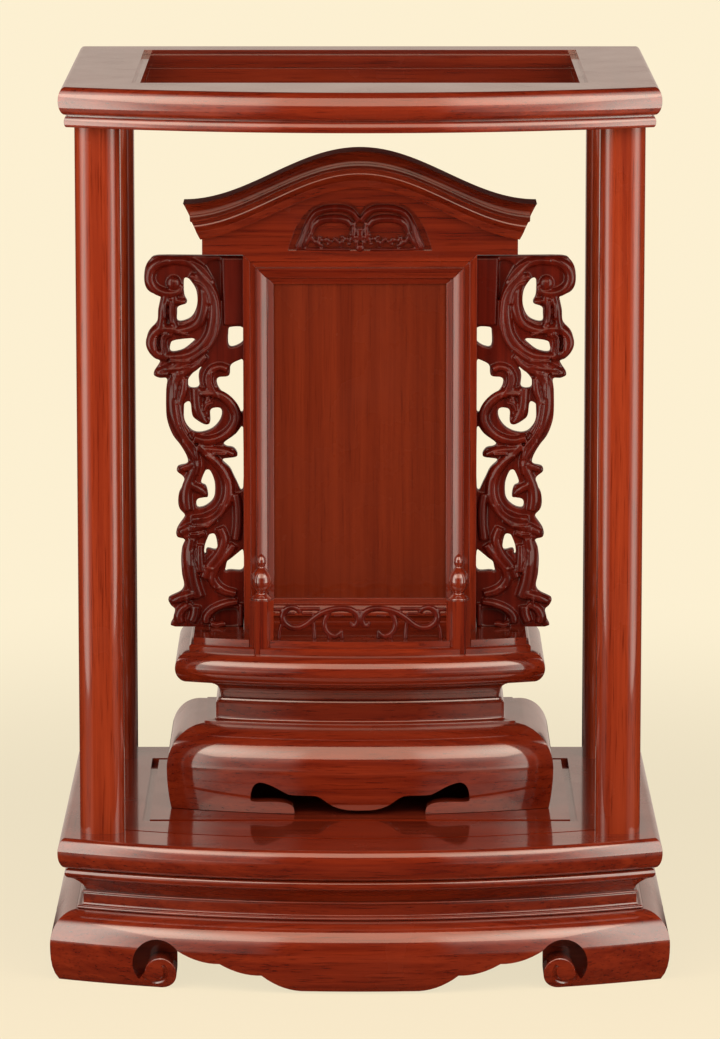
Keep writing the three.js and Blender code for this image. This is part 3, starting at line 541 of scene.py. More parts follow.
def lofted_ring(name, loops):
    """A closed ring through outlines at heights, given as (outline, height), in the order of its section."""
    count = len(loops[0][0])
    rows = [[(*loop[i], height) for loop, height in loops] for i in range(count)]
    return loft(name, rows, closed=True)


def section_ring(name, plan, section):
    """A ring of one section, given as (outward, height)."""
    return lofted_ring(name, [(outline(plan, out), height) for out, height in section])


case_plan = bowed_plan(206, -130, 170, 40)
pedestal_plan = bowed_plan(136.5, -38, 90, 23)
for name, plan in (("case", case_plan), ("pedestal", pedestal_plan)):
    print("the front of the", name, "bows with a radius of", round(plan["radius"], 1), "mm")

# %% [markdown]
# A ring of moulding is really four boards, mitred at the corners. The ring is copied four times, and each
# copy keeps only what lies over its own board's area in plan, by a Boolean modifier.

# %% Cutting helpers
MITRE_GAP = 0.04
EASE_LIMIT = 48
FAR = 40
SIDES = ("front", "left", "right", "rear")


def prism(name, points, start, end, axis="Z"):
    """A straight block from a drawn outline: in plan for Z, in front view for Y, in side view for X."""
    def place(u, v, w):
        return {"Z": (u, v, w), "Y": (u, w, v), "X": (w, u, v)}[axis]
    return loft(name, [[place(u, v, start) for u, v in points], [place(u, v, end) for u, v in points]])


def combine(piece, tool, how):
    """Applies a Boolean with another piece, and removes that piece."""
    take(piece)
    change = piece.modifiers.new("cut", "BOOLEAN")
    change.operation = how
    change.solver = "EXACT"
    change.object = tool
    bpy.ops.object.modifier_apply(modifier="cut")
    bpy.data.objects.remove(tool, do_unlink=True)
    return piece


def copied(piece, name):
    """A copy with its own mesh."""
    take(piece)
    bpy.ops.object.duplicate()
    twin = bpy.context.object
    twin.name = name
    return twin


def mitre_slope(plan):
    """How far a front mitre runs towards the rear for each millimetre that it runs inwards."""
    lean = math.asin(plan["half"] / plan["radius"]) if plan["bow"] else 0
    return math.tan(math.pi / 4 - lean / 2)


def mitre_line(plan, depth):
    """An opening some depth inside the plan, to which the mitres run straight."""
    return plan["half"] - depth, plan["front"] + depth * mitre_slope(plan), plan["rear"] - depth


def board_areas(plan, inner):
    """Plan areas of the four boards; inner is the opening's (half width, front, rear)."""
    half, front, rear, bow = plan["half"], plan["front"], plan["rear"], plan["bow"]
    inner_half, inner_front, inner_rear = inner
    outer_front = front - FAR * mitre_slope(plan)

    def beside(side):
        return [
            (side * (half + FAR), outer_front + MITRE_GAP), (side * (half + FAR), rear + FAR - MITRE_GAP),
            (side * half, rear - MITRE_GAP), (side * inner_half, inner_rear - MITRE_GAP),
            (side * inner_half, inner_front + MITRE_GAP), (side * half, front + MITRE_GAP),
        ]

    return {
        "front": [(-half - FAR, outer_front), (0, front - bow - 2 * FAR), (half + FAR, outer_front),
                  (half, front), (inner_half, inner_front), (-inner_half, inner_front), (-half, front)],
        "right": beside(1),
        "left": beside(-1),
        "rear": [(half + FAR, rear + FAR), (-half - FAR, rear + FAR), (-half, rear),
                 (-inner_half, inner_rear), (inner_half, inner_rear), (half, rear)],
    }


def eased(piece, width):
    """Bevels the sharper edges of a piece."""
    take(piece)
    edge = piece.modifiers.new("edge", "BEVEL")
    edge.width = width * MM
    edge.segments = 2
    edge.limit_method = "ANGLE"
    edge.angle_limit = math.radians(EASE_LIMIT)
    bpy.ops.object.modifier_apply(modifier="edge")
    return piece


def four_boards(ring, name, plan, inner, low, high, bevel=0):
    """Cuts a ring into its four boards, and returns them by side. A bevelled ring has mitres that close."""
    if bevel:
        eased(ring, bevel)
    boards = {}
    for side, area in board_areas(plan, inner).items():
        board = copied(ring, name + side)
        boards[side] = combine(board, prism("area", area, low - 1, high + 1), "INTERSECT")
    bpy.data.objects.remove(ring, do_unlink=True)
    return boards


print("mitres leave", MITRE_GAP, "mm, and edges over", EASE_LIMIT, "degrees are eased")

# %% [markdown]
# Each finished piece gets the same last steps: a small bevel, because no real edge is sharp and only
# a bevel catches the light, smooth shading up to an angle, its finish, and its place in the model. Weighted
# normals keep the flat faces flat beside the bevels. The boards of a ring have their grain along them.

# %% Finishing helper
SHARP_LIMIT = 34


def complete(piece, node, body, paint, bevel=0.35, sharp=SHARP_LIMIT):
    """Bevels, shades and paints a piece, and says which packed node it stands for."""
    piece.name = node + "_dressed"
    cleaned(piece)
    take(piece)
    if bevel:
        eased(piece, bevel)
    bpy.ops.object.shade_smooth_by_angle(angle=math.radians(sharp))
    level = piece.modifiers.new("level", "WEIGHTED_NORMAL")
    level.keep_sharp = True
    bpy.ops.object.modifier_apply(modifier="level")
    piece.data.materials.clear()
    piece.data.materials.append(paint)
    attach(piece, body)
    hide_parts(node)
    return piece


def complete_boards(boards, name, body, bevel=0):
    """Completes the four boards of a ring."""
    for side in SIDES:
        run = "across" if side in ("front", "rear") else "deep"
        complete(boards[side], name + side, body, lacquer[run], bevel=bevel)


print("edges over", SHARP_LIMIT, "degrees stay sharp")

# %% [markdown]
# The case stands on four skirt boards. Their faces swell outwards, and their lower edge is cut to scroll
# feet with a lobed apron between them. The ring is lofted first. The space between the toes is cut right
# through as a drawn outline, and the hollow behind each scroll only part of the way. A spiral is scored
# into each scroll, and a small rebate breaks its upper rim.

# %% Skirt boards with scroll feet
SKIRT_TOP = 48
CASE_MITRE = 40
LOWER_FACE = [(8.8, 25), (8.7, 20), (8.3, 15), (7.4, 9.8), (5.6, 4.6), (2.8, 0)]
skirt_section = arc(-9.5, 25, 18.3, 23, 90, 0, 22)[:-1] + LOWER_FACE + [(-18, 0), (-18, SKIRT_TOP)]
HOLLOW_IN, HOLLOW_HEIGHT, HOLLOW_RADIUS = 66.5, 17.3, 17.5
DISC_IN, DISC_RADIUS = 68.6, 11
TOE_IN = DISC_IN + DISC_RADIUS
TOE_TURN = math.degrees(math.acos((TOE_IN - HOLLOW_IN) / HOLLOW_RADIUS))
EYE_IN, EYE_HEIGHT = 63.7, 11.7


def behind_scroll(half_length, side):
    """The blind hollow between a foot and its scroll."""
    hollow_x = -half_length + HOLLOW_IN
    disc_x = -half_length + DISC_IN
    toe_x = -half_length + TOE_IN
    path = [(toe_x + 1, DISC_RADIUS)] + arc(disc_x, DISC_RADIUS, DISC_RADIUS, DISC_RADIUS, 0, 180, 30)
    path += arc(hollow_x, HOLLOW_HEIGHT, HOLLOW_RADIUS, HOLLOW_RADIUS, 222, TOE_TURN, 26)
    path.append((toe_x + 1, path[-1][1] - 0.8))
    return [(side * u, v) for u, v in path]


def under_skirt(half_length, lobes, side):
    """The open space under half a skirt board, from the toe to the middle of its scalloped apron."""
    hollow_x = -half_length + HOLLOW_IN
    disc_x = -half_length + DISC_IN
    path = [(disc_x, -2), (disc_x, 0)] + arc(disc_x, DISC_RADIUS, DISC_RADIUS, DISC_RADIUS, -90, 0, 14)[1:]
    path += arc(hollow_x, HOLLOW_HEIGHT, HOLLOW_RADIUS, HOLLOW_RADIUS, TOE_TURN, 37, 2)
    x, z = path[-1]
    for edge, height in lobes:
        end = -half_length + edge
        for i in range(1, 9):
            t = i / 8
            path.append((
                (1 - t) ** 2 * x + t * (1 - t) * (x + end) + t * t * end,
                (1 - t) ** 2 * z + 2 * t * (1 - t) * (height - 0.8) + t * t * height,
            ))
        x, z = end, height
    path += [(0.01, z), (0.01, -2)]
    return [(side * u, v) for u, v in path]


LOBES = [(109.4, 20.2), (138.3, 12.9), (169.3, 1.6)]
BOARDS = {
    # side: half length, middle, axis of the cut, outer start, blind end, through end, lobes
    "front": (206, 0, "Y", -300, -140, 0, LOBES),
    "rear": (206, 0, "Y", 300, 161, 20, LOBES[:2]),
    "left": (150, 20, "X", -300, -197, -20, LOBES[:2]),
    "right": (150, 20, "X", 300, 197, 20, LOBES[:2]),
}


def skirt_face(u, z, side):
    """The point of a skirt's face at a place along the board and a height."""
    out = next(
        above_out + (below_out - above_out) * (z - above) / (below - above)
        for (above_out, above), (below_out, below) in zip(LOWER_FACE, LOWER_FACE[1:]) if below <= z <= above
    )
    if side == "front":
        radius = case_plan["radius"] + out
        return u, case_plan["centre"] - math.sqrt(radius * radius - u * u), z
    half, rear = case_plan["half"], case_plan["rear"]
    return {"rear": (u, rear + out, z), "left": (-half - out, u, z), "right": (half + out, u, z)}[side]


def tubes(name, runs):
    """One mesh of round rods; each run is a list of (x, y, z, radius) in millimetres."""
    deselect()
    bpy.ops.curve.primitive_nurbs_path_add()
    path = bpy.context.object
    path.name = name
    path.data.splines.clear()
    path.data.bevel_depth = 1
    path.data.bevel_resolution = 3
    path.data.use_fill_caps = True
    for run in runs:
        spline = path.data.splines.new("POLY")
        spline.points.add(len(run) - 1)
        for point, (x, y, z, radius) in zip(spline.points, run):
            point.co = (x * MM, y * MM, z * MM, 1)
            point.radius = radius * MM
    bpy.ops.object.convert(target="MESH")
    return bpy.context.object


def spiral(half_length, middle, hand, side):
    """A groove on the face, from the end of the hollow under the eye of the scroll and up again."""
    run = []
    for i in range(31):
        turn = math.radians(195 + 205 * i / 30)
        reach = 7.8 + 0.6 * i / 30
        u = hand * (-half_length + EYE_IN + reach * math.cos(turn)) + middle
        radius = 1.4 + 0.5 * math.sin(math.pi * i / 36)
        run.append((*skirt_face(u, EYE_HEIGHT + reach * math.sin(turn), side), radius))
    return run


def worn_rim(half_length, middle, hand, side):
    """A shallow rebate along the upper rim of the scroll."""
    run = []
    for i in range(25):
        turn = math.radians(5 + 165 * i / 24)
        u = hand * (-half_length + DISC_IN + DISC_RADIUS * math.cos(turn)) + middle
        run.append((*skirt_face(u, DISC_RADIUS + DISC_RADIUS * math.sin(turn), side), 0.75))
    return run


ring = section_ring("skirts", case_plan, skirt_section)
skirts = four_boards(ring, "skirt_", case_plan, mitre_line(case_plan, CASE_MITRE), 0, SKIRT_TOP)
for side, (half_length, middle, axis, outer, blind, inner, lobes) in BOARDS.items():
    for hand in (-1, 1):
        hollow = [(u + middle, v) for u, v in behind_scroll(half_length, hand)]
        combine(skirts[side], prism("hollow", hollow, outer, blind, axis), "DIFFERENCE")
        hole = [(u + middle, v) for u, v in under_skirt(half_length, lobes, hand)]
        combine(skirts[side], prism("hole", hole, outer, inner, axis), "DIFFERENCE")
        for line in (spiral, worn_rim):
            groove = cleaned(tubes("groove", [line(half_length, middle, hand, side)]))
            combine(skirts[side], groove, "DIFFERENCE")
complete_boards(skirts, "skirt_", "case", bevel=0.3)
print("skirt faces:", {side: len(skirts[side].data.polygons) for side in SIDES})

# %% [markdown]
# Between skirt and floor the case draws in to a coved waist under a bead. Cove, fillet and bead are one
# section, as a moulding plane would cut them.

# %% Waist boards
FLOOR_BASE = 78.5
waist_section = (
    [(-37.8, FLOOR_BASE), (-5.4, FLOOR_BASE)]
    + arc(-5.4, 74.5, 4, 3.7, 80, -80, 14)
    + [(-5.4, 70.5)]
    + smooth([(-7.6, 69.6), (-11.2, 67.0), (-14.2, 63.9), (-15.8, 60.8)], 4)
    + arc(-14.2, 59.7, 1.3, 0.95, 90, -90, 8)
    + [(-14.0, 57.8)] + smooth([(-14.0, 52.0), (-13.8, 51.0), (-13.0, 50.5), (-10.9, 50.4)], 3)
    + arc(-10.9, 49.2, 1.4, 1.1, 90, -90, 8)
    + [(-10.9, SKIRT_TOP), (-37.8, SKIRT_TOP)]
)
ring = section_ring("waists", case_plan, waist_section)
waists = four_boards(ring, "waist_", case_plan, mitre_line(case_plan, CASE_MITRE), SKIRT_TOP, FLOOR_BASE, 0.15)
complete_boards(waists, "waist_", "case")
print("waist section has", len(waist_section), "points")

# %% [markdown]
# The floor is a frame of four rails with a half-round edge round a loose panel. Seen from the front, a
# thin groove runs along the front rail. The rails' mitres go from corner to corner of the opening, so the
# ring is lofted from the bowed outline to the square opening.

# %% Floor rails
FLOOR_TOP = 99.5
floor_open = (152.4, -77, 129)
edge_points = arc(-2.2, 89, 5.5, 10.5, 90, -90, 26)
loops = [(outline(case_plan, out), height) for out, height in edge_points]
loops += [(opening(*floor_open), FLOOR_BASE), (opening(*floor_open), FLOOR_TOP)]
ring = lofted_ring("floor_rails", loops)
floor_rails = four_boards(ring, "floor_rail_", case_plan, floor_open, FLOOR_BASE, FLOOR_TOP, 0.15)
GROOVE_FLOOR = FLOOR_TOP - 1.6
groove_section = [(-38, FLOOR_TOP + 1), (-38, GROOVE_FLOOR), (-40.4, GROOVE_FLOOR), (-40.4, FLOOR_TOP + 1)]
groove = section_ring("groove", case_plan, groove_section)
combine(floor_rails["front"], groove, "DIFFERENCE")
complete_boards(floor_rails, "floor_rail_", "case")
print("floor opening", floor_open)

# %% [markdown]
# Four square posts with rounded corners carry the top frame. The first is drawn as a rounded square and
# raised with a few stations, and the others are copies.

# %% Posts
TOP_BASE = 592.5
POST = 31
POST_ROUND = 10.5
POST_STEPS = 12
POST_CORNER = (-194.6, -117)
POST_SPAN = (358.2, 243)


def rounded_square(x, y, size, radius, steps=10):
    """Corner points of a rounded square, whose low corner is at x, y."""
    low, high = radius, size - radius
    corners = [(high, low, -90), (high, high, 0), (low, high, 90), (low, low, 180)]
    return [
        (x + u, y + v)
        for cx, cy, start in corners
        for u, v in arc(cx, cy, radius, radius, start, start + 90, steps)
    ]


def moved_copy(piece, name, shift):
    """A copy, moved inside its own mesh by millimetres."""
    twin = copied(piece, name)
    edit(twin, (bpy.ops.transform.translate, {"value": Vector(shift) * MM}))
    return twin


square = rounded_square(*POST_CORNER, POST, POST_ROUND)
heights = [FLOOR_TOP + (TOP_BASE - FLOOR_TOP) * i / POST_STEPS for i in range(POST_STEPS + 1)]
first_post = loft("post", [[(x, y, z) for x, y in square] for z in heights])
posts = {
    "post_front_left": first_post,
    "post_front_right": moved_copy(first_post, "post", (POST_SPAN[0], 0, 0)),
    "post_rear_left": moved_copy(first_post, "post", (0, POST_SPAN[1], 0)),
    "post_rear_right": moved_copy(first_post, "post", (*POST_SPAN, 0)),
}
# The posts' finish has a lighter red that is painted light.
for name, post in posts.items():
    complete(post, name, "case", lacquer["post"], bevel=0)
print(len(posts), "posts")

# %% [markdown]
# The top frame repeats the floor's half-round edge over a small bead. It is open in the middle, with a
# shallow rebate round the opening, and a fine line scored round its inner wall.

# %% Top rails
TOP = 620
top_open = (151, -94, 132)
top_edge = (
    arc(-6.4, 610.5, 5, 9.5, 90, -90, 24)
    + [(-8, 601), (-8, 599.8)]
    + arc(-7, 596.15, 1.7, 3.65, 80, -80, 10)
    + [(-7, TOP_BASE)]
)


def grown(inner, grow):
    """An opening, grown by some millimetres all round."""
    half, front, rear = inner
    return opening(half + grow, front - grow, rear + grow)


inner_walls = [(0, TOP_BASE), (0, 607), (1, 607), (1, 608), (0, 608), (0, 616.6), (4.5, 616.6), (4.5, TOP)]
loops = [(outline(case_plan, out), height) for out, height in top_edge]
loops += [(grown(top_open, out), height) for out, height in inner_walls]
ring = lofted_ring("top_rails", loops)
top_rails = four_boards(ring, "top_rail_", case_plan, top_open, TOP_BASE, TOP, 0.15)
complete_boards(top_rails, "top_rail_", "case")
print("top opening", top_open)

# %% [markdown]
# The tablet stands on a pedestal of its own. Its four skirt boards have round shoulders, and the front board
# is cut out in one curve over two small toes.

# %% Pedestal skirt
TABLET_BASE = 99.8
SHOULDER_TOP = 157.8
SKIRT_MITRE = 50
pedestal_skirt_section = (
    [(-26, SHOULDER_TOP)]
    + arc(-26, 128.8, 26, 29, 78, 0, 26)
    + smooth([(-0.2, 121), (-0.8, 114.3), (-1.7, 107), (-3, TABLET_BASE)], 3)
    + [(-14, TABLET_BASE), (-14, 128.8), (-33, 143.8), (-33, SHOULDER_TOP)]
)
arch_edge = smooth([
    (46.2, -2), (46.2, 2), (47.5, 5.5), (52, 7.8), (60, 8.6), (75.6, 8.2), (77, 12), (75.8, 18), (73, 21.5),
    (69, 22.3), (61.6, 20), (52, 15), (47, 13.8), (32, 13.5), (26.2, 11), (19.3, 6.3), (10, 3.5), (0.01, 3),
], 5)
ring = section_ring("pedestal_skirts", pedestal_plan, pedestal_skirt_section)
mitres = mitre_line(pedestal_plan, SKIRT_MITRE)
pedestal_skirts = four_boards(ring, "pedestal_skirt_", pedestal_plan, mitres, TABLET_BASE, SHOULDER_TOP)
arch = [(-x, TABLET_BASE + z) for x, z in arch_edge] + [(x, TABLET_BASE + z) for x, z in arch_edge[-2::-1]]
combine(pedestal_skirts["front"], prism("arch", arch, -150, 0, "Y"), "DIFFERENCE")
complete_boards(pedestal_skirts, "pedestal_skirt_", "tablet", bevel=0.15)
print("the arch edge has", len(arch), "points")

# %% [markdown]
# The pedestal's waist is a cove under a slanting strip. It is lofted and cut as the case's waist is.

# %% Pedestal waist
WAIST_TOP = 184.8
WAIST_MITRE = 54
pedestal_waist_section = (
    smooth([(-33, WAIST_TOP), (-36.4, 181.6), (-38, 174.8)], 5)
    + smooth([(-36.0, 174.0), (-35.4, 172.6), (-34.6, 171.2)], 4)
    + [(-34.4, 171.0)] + smooth([(-34.4, 161.4), (-34.0, 159.8), (-32.4, 159.1), (-26.3, 159.0)], 4)
    + [(-26.3, SHOULDER_TOP), (-54, SHOULDER_TOP), (-54, WAIST_TOP)]
)
ring = section_ring("pedestal_waists", pedestal_plan, pedestal_waist_section)
mitres = mitre_line(pedestal_plan, WAIST_MITRE)
pedestal_waists = four_boards(ring, "pedestal_waist_", pedestal_plan, mitres, SHOULDER_TOP, WAIST_TOP)
complete_boards(pedestal_waists, "pedestal_waist_", "tablet", bevel=0.15)
print("pedestal boards:", len(pedestal_skirts) + len(pedestal_waists))

# %% [markdown]
# Over the waist lies one thick board with a rounded nose, and on it a thinner one with a step. Both are
# solid, so the inner wall of the ring is taken out and the two holes are filled.

# %% Solid boards with a moulded edge
WALL_IN = 4
TOUCH = 0.00001


def section_board(name, plan, section):
    """A solid board whose edge has the given section, from its top edge inwards to its bottom edge."""
    (top_out, top), (low_out, bottom) = section[0], section[-1]
    board = section_ring(name, plan, section + [(low_out - WALL_IN, bottom), (top_out - WALL_IN, top)])
    take(board)
    bpy.ops.object.mode_set(mode="EDIT")
    bpy.ops.mesh.select_all(action="DESELECT")
    bpy.ops.object.mode_set(mode="OBJECT")
    for face in board.data.polygons:
        upright = abs(face.normal.z) < 0.01
        inward = face.normal.x * face.center.x + face.normal.y * (face.center.y - 0.02) < 0
        heights = [board.data.vertices[v].co.z for v in face.vertices]
        tall = max(heights) > top * MM - TOUCH and min(heights) < bottom * MM + TOUCH
        face.select = upright and tall and inward
    bpy.ops.object.mode_set(mode="EDIT")
    bpy.ops.mesh.delete(type="FACE")
    bpy.ops.object.mode_set(mode="OBJECT")
    edit(board, (bpy.ops.mesh.fill_holes, {"sides": 0}))
    return cleaned(board)


print("a solid board starts as a ring with a wall", WALL_IN, "mm thick")

# %% [markdown]
# The table's nose is nearly a half circle over a small step. The plinth has a notch for each railing post.

# %% Table and plinth
TABLE_TOP = 210.8
PLINTH_TOP = 220.3
table_section = (
    [(-44, TABLE_TOP)]
    + arc(-16, 199.8, 10, 11, 90, -72, 26)
    + [(-22, 188.8), (-32, 187.8), (-32, WAIST_TOP), (-44, WAIST_TOP)]
)
table = section_board("pedestal_table", pedestal_plan, table_section)
complete(table, "pedestal_table", "tablet", lacquer["across"])

plinth_section = [
    (-40, PLINTH_TOP), (-19, PLINTH_TOP), (-19, 215.55), (-17.2, 215.55), (-16, 214.4), (-16, TABLE_TOP),
    (-40, TABLE_TOP),
]
plinth = section_board("pedestal_plinth", pedestal_plan, plinth_section)
POST_X = 69.3
RAIL_POST = 17
RAIL_CHAMFER = 4.5
RAIL_Y = -30


def chamfered_square(x, y, half, chamfer):
    """Corner points of a square with cut corners."""
    c = half - chamfer
    return [
        (x - c, y - half), (x + c, y - half), (x + half, y - c), (x + half, y + c),
        (x + c, y + half), (x - c, y + half), (x - half, y + c), (x - half, y - c),
    ]


for side in (-1, 1):
    notch = chamfered_square(side * POST_X, RAIL_Y, RAIL_POST / 2 + 0.3, RAIL_CHAMFER)
    combine(plinth, prism("notch", notch, 200, 230), "DIFFERENCE")
complete(plinth, "pedestal_plinth", "tablet", lacquer["across"], bevel=0.3)
print("table and plinth:", len(table.data.polygons), len(plinth.data.polygons), "faces")

# %% [markdown]
# Two short railing posts stand at the front, each with a finial that was turned on a lathe. The finial is
# lofted from circles, which is what spinning its profile gives, and joined to the square shaft.

# %% Railing posts
FINIAL_BASE = 248.8
FINIAL_SUNK = 0.5
finial_profile = smooth([
    (6.9, 0.0), (7.3, 0.9), (7.0, 1.9), (5.4, 3.0), (4.0, 4.6), (4.1, 5.6), (5.6, 7.6), (6.8, 10.6),
    (7.1, 14.0), (6.4, 17.6), (4.6, 20.6), (2.7, 22.9), (2.3, 24.0), (2.9, 25.2), (3.3, 27.2), (2.9, 29.6),
    (1.7, 31.7), (0.2, 32.9),
], 3)


def railing_post(side, name):
    """A chamfered shaft with its finial."""
    x = side * POST_X
    square = chamfered_square(x, RAIL_Y, RAIL_POST / 2, RAIL_CHAMFER)
    shaft = prism(name, square, TABLE_TOP, FINIAL_BASE)
    turns = [math.radians(15 * i) for i in range(24)]
    rows = [
        [(x + r * math.cos(a), RAIL_Y + r * math.sin(a), FINIAL_BASE - FINIAL_SUNK + z) for a in turns]
        for r, z in finial_profile
    ]
    return combine(shaft, loft("finial", rows), "UNION")


for side, word in ((-1, "left"), (1, "right")):
    post = railing_post(side, "short_post")
    complete(post, "railing_post_" + word, "tablet", lacquer["upright"], bevel=0.3, sharp=30)
print("finial profile", len(finial_profile), "points")

# %% [markdown]
# The tablet is a stepped picture frame round a plain lacquered panel. Its section is lofted round the
# frame's outline as it lies flat, and stood up by swapping coordinates.

# %% Tablet frame
FRAME_HALF = 82.4
FRAME_REACH = 134
FRAME_MID = 354.3
FRAME_BACK = 0.02
FRAME_BOARD = 27
frame_section = (
    [(0, 0), (0, 14), (-4.8, 14), (-5.2, 12.4), (-9.2, 12.4)]
    + smooth([(-9.6, 15.3), (-13.0, 14.4), (-16.8, 12.5)], 3)
    + [(-17.4, 10), (-21.4, 9), (-21.4, 6), (-15, 6), (-15, 0)]
)


def frame_loop(grow):
    """The frame's outline in X and height, grown outwards."""
    u, v = FRAME_HALF + grow, FRAME_REACH + grow
    corners = [(-u, -v), (u, -v), (u, v), (-u, v)]
    return [p for a, b in zip(corners, corners[1:] + corners[:1]) for p in straight_side(a, b)]


def flat_to_upright(piece):
    """Stands a piece up that was made flat: its thickness then runs towards the front."""
    for vertex in piece.data.vertices:
        x, y, z = vertex.co
        vertex.co = (x, FRAME_BACK - z, FRAME_MID * MM + y)
    return cleaned(piece)


flat_plan = {"half": FRAME_HALF, "front": -FRAME_REACH, "rear": FRAME_REACH, "bow": 0, "radius": 1}
ring = lofted_ring("tablet_frame", [(frame_loop(out), height) for out, height in frame_section])
inner = (FRAME_HALF - FRAME_BOARD, -FRAME_REACH + FRAME_BOARD, FRAME_REACH - FRAME_BOARD)
boards = four_boards(ring, "frame_", flat_plan, inner, 0, 16)
frame_names = {
    "front": "tablet_bottom_rail", "rear": "tablet_top_rail", "left": "tablet_stile_left",
    "right": "tablet_stile_right",
}
for side, name in frame_names.items():
    flat_to_upright(boards[side])
    paint = frame_lacquer["upright" if "stile" in name else "across"]
    complete(boards[side], name, "tablet", paint, bevel=0.25)
print("frame boards:", list(frame_names.values()))

# %% [markdown]
# The cornice is one thick moulding that rises and falls in a long wave. Its stations are placed along the
# wave, and its ends slant inwards. Its flat upper side is left without polish. The board under it follows
# the same line.

# %% Cornice and tympanum
CORNICE_LOW = 525.3
CORNICE_RISE = 37
CORNICE_HALF = 124
CORNICE_SLANT = 12 / 26
FRONT_EDGE = -0.003


def cornice_height(x, drop):
    """Height of the wave at x, some millimetres under its upper edge."""
    across = min(abs(x) / CORNICE_HALF, 1)
    return CORNICE_LOW - drop + CORNICE_RISE * (1 + math.cos(math.pi * across)) / 2


def along_wave(name, section, half, slant, steps=96):
    """A solid whose (depth, drop) section follows the wave from end to end."""
    rows = []
    for i in range(steps + 1):
        t = 2 * i / steps - 1
        row = []
        for y, drop in section:
            x = t * (half - slant * drop)
            row.append((x, y, cornice_height(x, drop)))
        rows.append(row)
    return loft(name, rows)


cornice_section = (
    [(25, 0), (-4, 0)]
    + arc(-4, 9.5, 8, -9.5, 90, 0, 14)[1:]
    + [(-12, 11.0), (-11.2, 12.0), (-5.0, 12.2)]
    + smooth([(-3.4, 13.2), (-3.0, 15.6), (-4.0, 18.2), (-5.4, 19.6)], 3)
    + [(-6, 20.2), (-5.6, 22.5), (-4.6, 24.4), (-3.4, 26), (25, 26)]
)
cornice = along_wave("cornice", cornice_section, CORNICE_HALF, CORNICE_SLANT)
complete(cornice, "cornice", "tablet", lacquer["across"], bevel=0.3)
cornice.data.materials.append(unpolished)
for face in cornice.data.polygons:
    face.material_index = int(face.normal.z > 0.9 and face.center.y > FRONT_EDGE)

FRAME_TOP = 488.3
TYMPANUM_HALF = 111
TYMPANUM_STEPS = 72
TYMPANUM_FACE, TYMPANUM_BACK = 5, 25
UNDER_CORNICE = 26.3
tympanum_rows = []
for i in range(TYMPANUM_STEPS + 1):
    x = (2 * i / TYMPANUM_STEPS - 1) * TYMPANUM_HALF
    top = cornice_height(x, UNDER_CORNICE)
    tympanum_rows.append([
        (x, TYMPANUM_FACE, FRAME_TOP), (x, TYMPANUM_FACE, top), (x, TYMPANUM_BACK, top),
        (x, TYMPANUM_BACK, FRAME_TOP),
    ])
tympanum = loft("tympanum", tympanum_rows)
print("cornice is", CORNICE_RISE, "mm higher in the middle than at its ends")

# %% [markdown]
# Carving is drawn before it is cut. These drawings are made over the camera's own view, as a carver pastes a
# paper drawing on the board: a point of the view is sent along the camera's ray to the depth of the
# board. Only the left half is drawn, and the right half is its mirror image.

# %% Drawing over the view
VIEW_WIDTH = 720
VIEW_HEIGHT = 1039
VIEW_SCALE = CAMERA_LENS / CAMERA_SENSOR * VIEW_HEIGHT


def on_board(u, v, depth):
    """X and height in millimetres of a point of the view, on the upright plane at some depth."""
    tilt = math.radians(CAMERA_TILT)
    right = (u - VIEW_WIDTH / 2) / VIEW_SCALE
    up = (VIEW_HEIGHT / 2 - v) / VIEW_SCALE
    ahead = math.cos(tilt) + up * math.sin(tilt)
    rise = up * math.cos(tilt) - math.sin(tilt)
    far = (depth - CAMERA_PLACE[1] / MM) / ahead
    return right * far, CAMERA_PLACE[2] / MM + rise * far


def board_outline(points, depth, steps=4):
    """A drawn closed outline, smoothed, on the board."""
    closed = smooth(points + points[:1], steps)[:-1] if steps > 1 else points
    return [on_board(u, v, depth) for u, v in closed]


SQUARE = 0.705
print("one square of the drawing is", SQUARE, "mm")

# %% [markdown]
# A scroll is a round stem that swells and thins along a curve. A curve with a round bevel gives just
# that, with a radius at each point. Fine raised lines are drawn the same way, with a radius that swells
# slightly again and again, as a line cut by hand does. All parts are then joined into one skin.

# %% Stems, fine lines and bosses
SWELL_LENGTH = 3.4
LEAST_RADIUS = 0.9
DEEPEST = 3


def stem_curves(name, strokes, depth, lift, swell=0.0):
    """One mesh of round stems: a stroke is a list of (u, v, radius in squares), lift is its depth in Y."""
    runs = []
    for stroke in strokes:
        run = []
        length = 0
        last = None
        for u, v, radius in smooth(stroke, 7):
            x, z = on_board(u, v, depth)
            length += math.dist(last, (x, z)) if last else 0
            last = (x, z)
            pulse = 1 + swell * math.sin(length * 2 * math.pi / SWELL_LENGTH)
            thick = max(radius, LEAST_RADIUS) * SQUARE * pulse
            run.append((x, lift + max(0, thick - DEEPEST), z, thick))
        runs.append(run)
    return tubes(name, runs)


def domes(name, places, depth, lift):
    """Round bosses; each is (u, v, radius in squares)."""
    made = []
    for u, v, radius in places:
        x, z = on_board(u, v, depth)
        deselect()
        bpy.ops.mesh.primitive_uv_sphere_add(segments=20, ring_count=12, radius=radius * SQUARE * MM)
        boss = bpy.context.object
        boss.name = name
        edit(
            boss,
            (bpy.ops.transform.resize, {"value": (1, 0.62, 1)}),
            (bpy.ops.transform.translate, {"value": (x * MM, lift * MM, z * MM)}),
        )
        made.append(boss)
    return made


